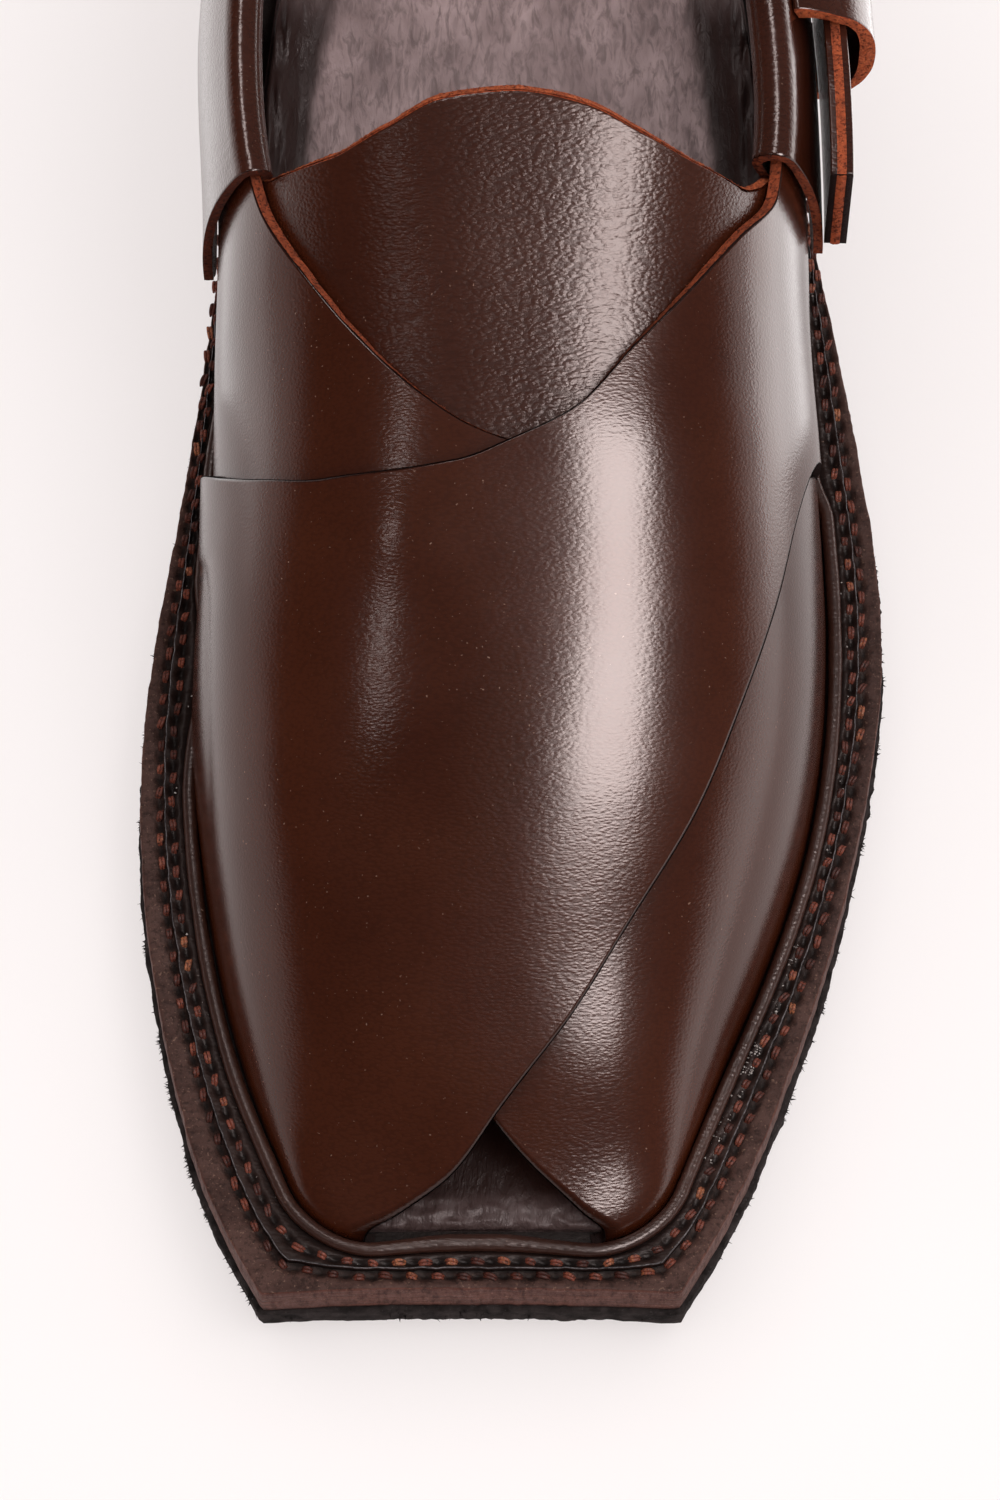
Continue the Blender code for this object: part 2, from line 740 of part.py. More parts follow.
def slot_cutter(name, first_turn, last_turn, inner, cutters):
    """The room inside a folded strap for the wing that it straddles."""
    heights = np.linspace(20.0, SLOT_TOP, 6)
    profile = [(SLOT_OUTER, z) for z in heights] + [(inner, z) for z in heights[::-1]]
    turns = np.linspace(first_turn, last_turn, 9)
    rings = [[off_wall(turn, z, lift) for lift, z in profile] for turn in turns]
    return loft(name, rings, None, cutters)


def leg_turn(station):
    """The share of a leg of the ring that lies ahead of a station."""
    return (station - STRAP_FRONT) / (HEEL_CENTRE - STRAP_FRONT)


def lateral_turn(station):
    return 3 - leg_turn(station)


def make_heel_strap(paint, collection, cutters):
    medial = np.linspace(0, 1, 13)
    heel = np.linspace(1, 2, 17)[1:]
    lateral = np.linspace(2, HEEL_STRAP[-1][0], 21)[1:]
    rings = strap_rings(HEEL_STRAP, [*medial, *heel, *lateral], off_flank)
    strap = loft("heel_strap", rings, paint, collection)
    boolean(strap, "DIFFERENCE", slot_cutter("medial_slot", -0.05, leg_turn(SLOT_END), SLOT_INNER, cutters))
    front = slot_cutter("medial_front", -0.05, leg_turn(INNER_LEAF_FRONT), INNER_LEAF_CLEAR, cutters)
    boolean(strap, "DIFFERENCE", front)
    return strap


def make_side_collar(paint, collection, cutters):
    turns = np.linspace(SIDE_COLLAR[0][0], SIDE_COLLAR[-1][0], 9)
    collar = loft("side_collar", strap_rings(SIDE_COLLAR, turns, off_wall), paint, collection)
    slot = slot_cutter("lateral_slot", 3.05, lateral_turn(SLOT_END), SLOT_INNER, cutters)
    boolean(collar, "DIFFERENCE", slot)
    front = slot_cutter("lateral_front", 3.05, lateral_turn(INNER_LEAF_FRONT), INNER_LEAF_CLEAR, cutters)
    boolean(collar, "DIFFERENCE", front)
    return collar


# The keeper loop and the buckle

KEEPER_STATIONS = (192.5, 205.0)
KEEPER_CENTRE = 53.4
# reach, half height and roundness of the loop's inside and outside
KEEPER_INNER = (7.2, 11.1, 3.0)
KEEPER_OUTER = (9.8, 13.2, 2.2)
KEEPER_ROOT = 4.0
KEEPER_START = LEAF + GAP


def half_round(reach, half, roundness):
    """Points (x, z) of a half ellipse that bulges towards +x; more than 2 makes it squarer."""
    power = 2 / roundness
    points = []
    for angle in np.radians(np.linspace(-90, 90, 15)):
        up = half * abs(math.sin(angle)) ** power
        points.append((reach * abs(math.cos(angle)) ** power, math.copysign(up, angle)))
    return points


def make_keeper(paint, collection):
    outline = half_round(*KEEPER_OUTER) + half_round(*KEEPER_INNER)[::-1]
    profile = [(KEEPER_START + x, KEEPER_CENTRE + z) for x, z in outline]
    rings = []
    for station in np.linspace(*KEEPER_STATIONS, 4):
        turn = lateral_turn(station)
        ring = []
        for lift, z in profile:
            upright = ease((lift - KEEPER_START) / KEEPER_ROOT)
            ring.append(off_wall(turn, z, lift) * (1 - upright) + off_flank(turn, z, lift) * upright)
        rings.append(ring)
    return loft("keeper_loop", rings, paint, collection)


# station and lift of the buckle's two bars, and the height of its ends
HEEL_BAR = (214.0, 7.0)
FRONT_BAR = (229.0, 11.4)
BUCKLE_ENDS = (41.2, 67.0)
BAR_RADIUS = 1.0
BUCKLE_CORNER = 2.5


def make_rod(name, path, radius, cyclic, paint, collection):
    """A round rod along a path of (station, lift, z) on the lateral wall, as a mesh."""
    curve = bpy.data.curves.new(name, "CURVE")
    curve.dimensions = "3D"
    curve.bevel_depth = radius * MM
    curve.bevel_resolution = 2
    curve.use_fill_caps = True
    spline = curve.splines.new("POLY")
    spline.points.add(len(path) - 1)
    for point, (station, lift, z) in zip(spline.points, path):
        point.co = (*place(*off_flank(lateral_turn(station), z, lift)), 1)
    spline.use_cyclic_u = cyclic
    rod = bpy.data.objects.new(name + "_curve", curve)
    collection.objects.link(rod)
    bpy.context.view_layer.update()
    data = bmesh.new()
    data.from_mesh(bpy.data.meshes.new_from_object(rod.evaluated_get(bpy.context.evaluated_depsgraph_get())))
    bmesh.ops.remove_doubles(data, verts=data.verts, dist=0.00001)
    bpy.data.objects.remove(rod)
    return as_object(name, data, paint, collection)


def make_buckle_frame(paint, collection):
    """A rounded rectangle, bent to the wall: its two bars stand up, its two ends lie along the strap."""
    low, high = BUCKLE_ENDS
    (near, near_lift), (far, far_lift) = HEEL_BAR, FRONT_BAR
    corner = BUCKLE_CORNER
    outline = []
    for station, z, start in ((near, low, 180), (far, low, 270), (far, high, 0), (near, high, 90)):
        centre_station = station + corner if station == near else station - corner
        centre_z = z + corner if z == low else z - corner
        for angle in (0, 30, 60, 90):
            turn = math.radians(start + angle)
            outline.append((centre_station + corner * math.cos(turn), centre_z + corner * math.sin(turn)))
        if station == far and z == low or station == near and z == high:
            stop = high - corner if z == low else low + corner
            outline += [(station, centre_z + (stop - centre_z) * share) for share in (0.2, 0.4, 0.6, 0.8)]
    path = []
    for station, z in outline:
        path.append((station, near_lift + (far_lift - near_lift) * (station - near) / (far - near), z))
    return make_rod("buckle_frame", path, BAR_RADIUS, True, paint, collection)


PRONG_RADIUS = 0.9
PRONG_HOLE = 1.35
PRONG_HEIGHT = 54.1
PRONG_PATH = ((217.2, 7.2), (219.0, 8.5), (222.0, 11.7), (224.5, 13.1), (231.0, 13.4))


def make_buckle_prong(paint, collection):
    path = [(station, lift, PRONG_HEIGHT) for station, lift in PRONG_PATH]
    return make_rod("buckle_prong", path, PRONG_RADIUS, False, paint, collection)


def prong_hole(cutters):
    path = [(station, lift, PRONG_HEIGHT) for station, lift in PRONG_PATH[:4]]
    return make_rod("prong_hole", path, PRONG_HOLE, False, None, cutters)


CHAPE_ENDS = (48.8, 59.4)
CHAPE_LEATHER = 0.9
CHAPE_START = 207.0


def make_chape(paint, collection):
    """The leather tab that hooks round the buckle's heel bar and holds it to the side collar."""
    bar_station, bar_lift = HEEL_BAR
    inner = BAR_RADIUS + GAP
    outer = inner + CHAPE_LEATHER
    angles = np.radians(np.linspace(-90, 150, 9))
    hook_out = [(bar_station + outer * math.cos(a), bar_lift + outer * math.sin(a)) for a in angles]
    hook_in = [(bar_station + inner * math.cos(a), bar_lift + inner * math.sin(a)) for a in angles]
    profile = [(CHAPE_START, bar_lift - outer)] + hook_out + hook_in[::-1] + [(CHAPE_START, bar_lift - inner)]
    rings = []
    for z in np.linspace(*CHAPE_ENDS, 4):
        rings.append([off_flank(lateral_turn(station), z, lift) for station, lift in profile])
    return loft("buckle_chape", rings, paint, collection)


def main():
    for thing in list(bpy.data.objects):
        bpy.data.objects.remove(thing)
    shoe = new_collection("peshawari_chappal")
    cutters = new_collection("cutters")
    leather = material("brown_leather", (0.13, 0.045, 0.025), 0.28)
    strap_leather = material("strap_leather", (0.12, 0.04, 0.022), 0.25)
    midsole_leather = material("sole_leather", (0.12, 0.075, 0.06), 0.7)
    rubber = material("sole_rubber", (0.045, 0.042, 0.042), 0.85)
    lining = material("insole_leather", (0.25, 0.19, 0.19), 0.5)
    metal = material("buckle_metal", (0.62, 0.60, 0.56), 0.3, 1.0)
    make_outsole(rubber, shoe)
    make_heel(rubber, shoe)
    make_midsole(midsole_leather, shoe)
    make_welt(leather, shoe)
    make_insole(lining, shoe)
    make_upper(leather, shoe, cutters)
    make_flap(leather, shoe)
    strap = make_heel_strap(strap_leather, shoe, cutters)
    boolean(strap, "DIFFERENCE", prong_hole(cutters))
    make_side_collar(strap_leather, shoe, cutters)
    make_keeper(strap_leather, shoe)
    make_buckle_frame(metal, shoe)
    make_buckle_prong(metal, shoe)
    make_chape(strap_leather, shoe)


main()
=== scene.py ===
"""Looks of the peshawari chappal: a flat-toed leather sandal, left shoe, on a pale studio floor.

Shapes are given as in the part: millimetres, a "station" counted from the toe, and a "girth" that
runs over the last from 0 at its medial feather line to 1 at its lateral one.
"""

import math

import bpy
import numpy as np
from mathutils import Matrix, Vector, noise


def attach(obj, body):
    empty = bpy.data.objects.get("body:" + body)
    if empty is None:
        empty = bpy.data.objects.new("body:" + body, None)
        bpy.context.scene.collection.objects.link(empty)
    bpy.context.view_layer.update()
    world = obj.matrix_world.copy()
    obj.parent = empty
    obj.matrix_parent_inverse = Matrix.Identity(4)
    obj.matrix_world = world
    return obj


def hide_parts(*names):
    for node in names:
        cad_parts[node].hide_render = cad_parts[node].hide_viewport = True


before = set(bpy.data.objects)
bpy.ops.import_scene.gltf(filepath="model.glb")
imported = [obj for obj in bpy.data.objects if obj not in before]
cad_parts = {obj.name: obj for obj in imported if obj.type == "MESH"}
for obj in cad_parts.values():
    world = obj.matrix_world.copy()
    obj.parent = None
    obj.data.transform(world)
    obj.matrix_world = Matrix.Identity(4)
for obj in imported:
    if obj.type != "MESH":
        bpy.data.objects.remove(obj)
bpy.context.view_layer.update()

MM = 0.001

# Sizes of the shoe
LENGTH = 296.0
BALL_WIDTH = 116.0
INSTEP_HEIGHT = 69.5
HEEL_HEIGHT = 10.0
TOE_SPRING = 6.0
HEEL_CENTRE = 258.0
OUTSOLE = 5.3
MIDSOLE = 8.4
INSOLE = 2.5
BAND = 1.9
FLAP = 1.6
WELT = 1.4
GAP = 0.3
STACK = OUTSOLE + GAP + MIDSOLE + GAP
TOE_BREAK = 65.0
SHANK_START = 128.0
HEEL_BREAST = 224.0
TOE_HOLLOW = 0.8
OUTSOLE_PROUD = 0.6
SOLE_HEEL_REACH = LENGTH - HEEL_CENTRE
HEEL_ROUND = 2.25
LAST_TOE = 9.8
LAST_CORNER = 8.0
LAST_HEEL_REACH = 30.0
STRAP_FRONT = 164.0
HEEL_WALL = 60.0
HEEL_BULGE = 1.5
HEEL_LEAN = 4.0
DRAPE = 5.0
LONG_DRAPE = 32.0
FOOT = 30.0

# station, medial and lateral half widths of the sole, as shares of length and ball width
SOLE_SECTIONS = np.array((
    (0.000, 0.322, 0.224),
    (0.051, 0.387, 0.296),
    (0.118, 0.440, 0.366),
    (0.186, 0.475, 0.425),
    (0.270, 0.495, 0.477),
    (0.355, 0.485, 0.508),
    (0.443, 0.452, 0.497),
    (0.534, 0.419, 0.459),
    (0.642, 0.384, 0.405),
    (0.760, 0.353, 0.359),
    (0.872, 0.341, 0.341),
))

# station, medial and lateral half widths, medial and lateral swell, ridge and fullness of the last
LAST_SECTIONS = np.array((
    (0.030, 0.238, 0.173, 0.0, 0.0, 0.02, 2.20),
    (0.068, 0.278, 0.209, 0.0, 0.0, 0.12, 2.25),
    (0.118, 0.328, 0.260, -0.6, -0.6, 0.26, 2.30),
    (0.176, 0.367, 0.321, -1.0, -1.0, 0.41, 2.35),
    (0.243, 0.393, 0.378, -1.0, -1.0, 0.555, 2.40),
    (0.321, 0.402, 0.411, -0.8, -0.8, 0.675, 2.45),
    (0.405, 0.391, 0.414, -0.5, -0.8, 0.795, 2.50),
    (0.490, 0.378, 0.399, 1.2, 0.4, 0.905, 2.70),
    (0.574, 0.368, 0.385, 1.8, 1.2, 1.000, 3.10),
    (0.676, 0.353, 0.362, 5.5, 3.5, 1.000, 2.60),
    (0.777, 0.323, 0.328, 6.0, 5.0, 1.100, 2.50),
    (0.872, 0.306, 0.306, 4.0, 4.0, 1.400, 2.60),
))

# rear station, rear girth, front station and front girth of each band, from its wing to the toe;
# both bands have the same wing
TOP_BAND = np.array((
    (205.0, 0.803, 214.0, 1.000),
    (188.0, 0.780, 190.0, 1.000),
    (170.0, 0.752, 166.0, 1.000),
    (161.7, 0.742, 150.0, 1.000),
    (152.1, 0.692, 141.0, 1.000),
    (142.0, 0.645, 134.5, 1.000),
    (132.9, 0.600, 128.0, 0.845),
    (123.0, 0.550, 115.0, 0.789),
    (118.4, 0.496, 100.0, 0.765),
    (115.4, 0.445, 84.0, 0.741),
    (114.6, 0.388, 68.0, 0.720),
    (115.0, 0.327, 54.0, 0.686),
    (118.5, 0.253, 40.0, 0.640),
    (123.0, 0.190, 27.0, 0.540),
    (129.5, 0.110, 17.0, 0.410),
    (133.6, 0.050, 11.5, 0.190),
    (136.5, 0.000, 9.8, 0.000),
))
UNDER_BAND = np.vstack((
    TOP_BAND[:3],
    (159.2, 0.729, 150.0, 1.000),
    (146.0, 0.680, 140.0, 1.000),
    (135.6, 0.637, 133.0, 1.000),
    (126.2, 0.587, 125.0, 1.000),
    (120.5, 0.540, 112.0, 0.820),
    (118.0, 0.500, 98.0, 0.762),
    (115.4, 0.445, 84.0, 0.741),
    (114.6, 0.388, 68.0, 0.720),
    (115.0, 0.327, 54.0, 0.670),
    (118.5, 0.253, 40.0, 0.610),
    (123.4, 0.190, 27.0, 0.500),
    (129.5, 0.110, 18.0, 0.360),
    (133.8, 0.050, 12.0, 0.170),
    (136.2, 0.000, 9.8, 0.000),
))


def smooth(places, values):
    """The natural cubic spline through the values, as a function of place."""
    places, values = np.asarray(places, float), np.asarray(values, float)
    count = len(places)
    step = np.diff(places)
    rise = np.diff(values) / step
    system = np.eye(count)
    right = np.zeros(count)
    for k in range(1, count - 1):
        system[k, k - 1:k + 2] = step[k - 1], 2 * (step[k - 1] + step[k]), step[k]
        right[k] = 6 * (rise[k] - rise[k - 1])
    bend = np.linalg.solve(system, right)

    def at(place):
        place = np.clip(place, places[0], places[-1])
        k = np.clip(np.searchsorted(places, place) - 1, 0, count - 2)
        a = (places[k + 1] - place) / step[k]
        b = (place - places[k]) / step[k]
        cubic = ((a**3 - a) * bend[k] + (b**3 - b) * bend[k + 1]) * step[k] ** 2 / 6
        return a * values[k] + b * values[k + 1] + cubic

    return at


def steady(places, values):
    """A smooth curve through the values that never overshoots them, as a function of place."""
    places, values = np.asarray(places, float), np.asarray(values, float)
    step = np.diff(places)
    rise = np.diff(values) / step
    slope = np.concatenate([[rise[0]], np.zeros(len(step) - 1), [rise[-1]]])
    for k in range(1, len(step)):
        if rise[k - 1] * rise[k] > 0:
            ahead = 2 * step[k] + step[k - 1]
            behind = step[k] + 2 * step[k - 1]
            slope[k] = (ahead + behind) / (ahead / rise[k - 1] + behind / rise[k])

    def at(place):
        place = np.clip(place, places[0], places[-1])
        k = np.clip(np.searchsorted(places, place) - 1, 0, len(step) - 1)
        s = (place - places[k]) / step[k]
        ends = (2 * s**3 - 3 * s**2 + 1) * values[k] + (3 * s**2 - 2 * s**3) * values[k + 1]
        return ends + step[k] * ((s**3 - 2 * s**2 + s) * slope[k] + (s**3 - s**2) * slope[k + 1])

    return at


def ease(share):
    """0 below 0 and 1 above 1, with a smooth rise between."""
    share = np.clip(share, 0.0, 1.0)
    return share * share * (3 - 2 * share)


def unit(vectors):
    return vectors / np.maximum(np.linalg.norm(vectors, axis=-1, keepdims=True), 1e-9)


SOLE_MEDIAL = smooth(SOLE_SECTIONS[:, 0] * LENGTH, SOLE_SECTIONS[:, 1] * BALL_WIDTH)
SOLE_LATERAL = smooth(SOLE_SECTIONS[:, 0] * LENGTH, SOLE_SECTIONS[:, 2] * BALL_WIDTH)
LAST_PLACES = LAST_SECTIONS[:, 0] * LENGTH
LAST_MEDIAL = smooth(LAST_PLACES, LAST_SECTIONS[:, 1] * BALL_WIDTH)
LAST_LATERAL = smooth(LAST_PLACES, LAST_SECTIONS[:, 2] * BALL_WIDTH)
MEDIAL_SWELL = smooth(LAST_PLACES, LAST_SECTIONS[:, 3])
LATERAL_SWELL = smooth(LAST_PLACES, LAST_SECTIONS[:, 4])
RIDGE = smooth(LAST_PLACES, LAST_SECTIONS[:, 5] * INSTEP_HEIGHT)
FULLNESS = smooth(LAST_PLACES, LAST_SECTIONS[:, 6])


def ground_rise(station):
    toe = TOE_SPRING * np.clip(1 - station / TOE_BREAK, 0, 1) ** 2
    shank = (station - SHANK_START) / (HEEL_BREAST - 2.0 - SHANK_START)
    return toe + HEEL_HEIGHT * ease(shank)


def feather_height(station):
    return ground_rise(station) + STACK


def heel_share(station, reach):
    back = np.clip((station - HEEL_CENTRE) / reach, 0, 1)
    return (1 - back**HEEL_ROUND) ** (1 / HEEL_ROUND)


def sole_sides(station):
    share = heel_share(station, SOLE_HEEL_REACH)
    return -SOLE_MEDIAL(station) * share, SOLE_LATERAL(station) * share


def last_sides(station):
    inward = np.clip(LAST_CORNER - (station - LAST_TOE), 0, LAST_CORNER)
    corner = LAST_CORNER - np.sqrt(LAST_CORNER**2 - inward**2)
    share = heel_share(station, LAST_HEEL_REACH)
    return (corner - LAST_MEDIAL(station)) * share, (LAST_LATERAL(station) - corner) * share


def section(station):
    """The last's arch at a station: x, z and the share of girth passed at each of its points."""
    medial, lateral = last_sides(station)
    turn = np.linspace(0, math.pi, 1201)
    power = 2 / FULLNESS(station)
    rise = np.clip(np.sin(turn), 0, 1) ** power
    across = -np.sign(np.cos(turn)) * np.abs(np.cos(turn)) ** power
    swell = np.where(across < 0, MEDIAL_SWELL(station), LATERAL_SWELL(station))
    half = (lateral - medial) / 2 + swell * 4 * rise * (1 - rise)
    x = (medial + lateral) / 2 + across * half
    z = feather_height(station) + RIDGE(station) * rise
    girth = np.concatenate([[0], np.cumsum(np.hypot(np.diff(x), np.diff(z)))])
    return x, z, girth


# The last as a net of points: rows by station, columns by girth
NET_STATIONS = np.concatenate([
    LAST_TOE + LAST_CORNER * np.linspace(0, 1, 40)[:-1] ** 2,
    np.arange(LAST_TOE + LAST_CORNER, HEEL_CENTRE, 0.5),
    [HEEL_CENTRE],
])
NET_GIRTHS = np.linspace(0, 1, 701)
SECTIONS = [section(station) for station in NET_STATIONS]
NET_X = np.array([np.interp(NET_GIRTHS, g / g[-1], x) for x, z, g in SECTIONS])
NET_Z = np.array([np.interp(NET_GIRTHS, g / g[-1], z) for x, z, g in SECTIONS])
NET_AROUND = np.array([g[-1] for x, z, g in SECTIONS])


def on_last(station, girth):
    station = np.clip(station, LAST_TOE, HEEL_CENTRE)
    row = np.clip(np.searchsorted(NET_STATIONS, station) - 1, 0, len(NET_STATIONS) - 2)
    down = (station - NET_STATIONS[row]) / (NET_STATIONS[row + 1] - NET_STATIONS[row])
    place = np.clip(girth, 0, 1) * (len(NET_GIRTHS) - 1)
    column = np.minimum(place.astype(int), len(NET_GIRTHS) - 2)
    along = place - column

    def between(net):
        near = net[row, column] * (1 - along) + net[row, column + 1] * along
        far = net[row + 1, column] * (1 - along) + net[row + 1, column + 1] * along
        return near * (1 - down) + far * down

    return np.stack([between(NET_X), station, between(NET_Z)], axis=-1)


def over_last(station, girth, lift):
    """Points lifted square off the last, and never below the feather line."""
    station, girth, lift = np.broadcast_arrays(*(np.asarray(v, float) for v in (station, girth, lift)))
    forward = on_last(station + 0.5, girth) - on_last(station - 0.5, girth)
    around = on_last(station, np.minimum(girth + 0.006, 1)) - on_last(station, np.maximum(girth - 0.006, 0))
    point = on_last(station, girth) + unit(np.cross(around, forward)) * lift[..., None]
    point[..., 2] = np.maximum(point[..., 2], feather_height(point[..., 1]))
    return point


def wall_x(station, side, z):
    """x of the last's wall on one side, at single heights."""
    row = int(np.clip(np.searchsorted(NET_STATIONS, station), 0, len(NET_STATIONS) - 1))
    middle = len(NET_GIRTHS) // 2
    half = slice(0, middle + 1) if side < 0 else slice(middle, None)
    x, height = NET_X[row, half], NET_Z[row, half]
    if side > 0:
        x, height = x[::-1], height[::-1]
    return float(np.interp(z, np.maximum.accumulate(height), x))


def heel_lean(z):
    above = (z - feather_height(HEEL_CENTRE)) / HEEL_WALL
    return HEEL_BULGE * math.sin(math.pi * min(max(above, 0), 1)) - HEEL_LEAN * above**2


def wall_ring(turn, z):
    """A point of the last's wall: medial side (turn 0 to 1), heel (1 to 2), lateral side (2 to 3)."""
    if turn <= 1:
        station, side = STRAP_FRONT + turn * (HEEL_CENTRE - STRAP_FRONT), -1
    elif turn >= 2:
        station, side = HEEL_CENTRE - (turn - 2) * (HEEL_CENTRE - STRAP_FRONT), 1
    else:
        angle = (turn - 1) * math.pi
        power = 2 / HEEL_ROUND
        side = -1 if turn < 1.5 else 1
        width = abs(math.cos(angle)) ** power
        depth = math.sin(angle) ** power * (LAST_HEEL_REACH + heel_lean(z))
        return np.array([wall_x(HEEL_CENTRE, side, z) * width, HEEL_CENTRE + depth, z])
    return np.array([wall_x(station, side, z), station, z])


def off_wall(turn, z, lift):
    along = wall_ring(turn + 0.01, z) - wall_ring(turn - 0.01, z)
    up = wall_ring(turn, z + 0.5) - wall_ring(turn, z - 0.5)
    return wall_ring(turn, z) + unit(np.cross(up, along)) * lift


TAIL_HEIGHT = 54.0
TAIL_FLAT = (2.05, 2.30)


def off_flank(turn, z, lift):
    """A point off the wall where it follows the wall round the heel, and then stands upright."""
    upright = ease((turn - TAIL_FLAT[0]) / (TAIL_FLAT[1] - TAIL_FLAT[0]))
    point = off_wall(turn, z, lift)
    x, station, _ = off_wall(turn, TAIL_HEIGHT, lift)
    return point * (1 - upright) + np.array([x, station, z]) * upright


def leg_turn(station):
    return (station - STRAP_FRONT) / (HEEL_CENTRE - STRAP_FRONT)


def lateral_turn(station):
    return 3 - leg_turn(station)


# Making meshes

def metres(points):
    """Points of the shoe in the shared frame, whose origin is under the heel's centre."""
    return (np.asarray(points, float) - (0, HEEL_CENTRE, 0)) * MM


def new_piece(name, points, faces, paints, tones=None, indices=None, stains=None):
    """A mesh piece from points in millimetres; indices gives the material of each face. Tones run from dark
    to light, and the stain and shade values from clean to nearly black: real stains on some pieces, painted
    shade on others."""
    mesh = bpy.data.meshes.new(name)
    mesh.from_pydata(metres(points).tolist(), [], faces)
    for paint in paints:
        mesh.materials.append(paint)
    if indices is not None:
        mesh.polygons.foreach_set("material_index", np.asarray(indices, np.int32))
    for label, values in (("tone", tones), ("stain", stains)):
        if values is not None:
            layer = mesh.attributes.new(label, "FLOAT", "POINT")
            layer.data.foreach_set("value", np.asarray(values, np.float32))
    mesh.shade_smooth()
    mesh.validate()
    mesh.update()
    made = bpy.data.objects.new(name, mesh)
    bpy.context.scene.collection.objects.link(made)
    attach(made, "root")
    return made


def stands_for(piece, slot, *nodes):
    """Hides the solids that a piece replaces; the slot, its kind of material, is not used."""
    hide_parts(*nodes)
    return piece


def grid_faces(rows, steps, first=0, wrap=False, flip=False):
    """Quads of a grid whose points run row by row."""
    index = np.arange(rows * steps).reshape(rows, steps) + first
    if wrap:
        index = np.vstack([index, index[:1]])
    quads = np.stack([index[:-1, :-1], index[:-1, 1:], index[1:, 1:], index[1:, :-1]], axis=-1)
    quads = quads.reshape(-1, 4)
    return quads[:, ::-1] if flip else quads


def sheet(name, outer, inner, paints, flip=False, stains=None):
    """A sheet between two grids of points: paints are those of its outside, its inside and its rim."""
    rows, steps = outer.shape[:2]
    count = rows * steps
    quads = [grid_faces(rows, steps, 0, flip=flip), grid_faces(rows, steps, count, flip=not flip)]
    rim = [(0, j) for j in range(steps)] + [(i, steps - 1) for i in range(1, rows)]
    rim += [(rows - 1, j) for j in range(steps - 2, -1, -1)] + [(i, 0) for i in range(rows - 2, 0, -1)]
    rim = np.array([i * steps + j for i, j in rim])
    after = np.roll(rim, -1)
    band = np.stack([rim, rim + count, after + count, after], axis=-1)
    quads.append(band[:, ::-1] if flip else band)
    indices = np.concatenate([np.full(len(q), k) for k, q in enumerate(quads)])
    points = np.concatenate([outer.reshape(-1, 3), inner.reshape(-1, 3)])
    if stains is not None:
        stains = np.concatenate([stains.ravel(), stains.ravel()])
    return new_piece(name, points, np.concatenate(quads).tolist(), paints, None, indices, stains)


def resample(path, spacing):
    """Fractional indices of evenly spaced points along the path, and the path's length."""
    run = np.concatenate([[0], np.cumsum(np.linalg.norm(np.diff(path, axis=0), axis=1))])
    count = max(int(run[-1] / spacing), 2)
    even = np.linspace(0, run[-1], count + 1)
    place = np.interp(even, run, np.arange(len(path)))
    return place, run[-1]


def pick(path, place):
    """The path's points at fractional indices."""
    low = np.clip(place.astype(int), 0, len(path) - 2)
    share = (place - low)[:, None]
    return path[low] * (1 - share) + path[low + 1] * share


# A cut face, in millimetres: spacing of its points along the edge, its slow unevenness and the
# size of its fibres; ACROSS holds its points' places from one edge to the other
EDGE_SPACING = 0.3
EDGE_DRIFT = 0.15
FIBRE_HALF_WIDTHS = (0.03, 0.075)
FIBRE_THICKNESS = 0.04
ACROSS = np.array([0.0, 0.12, 0.3, 0.5, 0.7, 0.88, 1.0])


def spikes(first, count):
    """Faces of three-sided spikes: each has three points at its root and then its tip."""
    faces = []
    for a in range(first, first + 4 * count, 4):
        faces += [(a, a + 1, a + 3), (a + 1, a + 2, a + 3), (a + 2, a, a + 3)]
    return faces


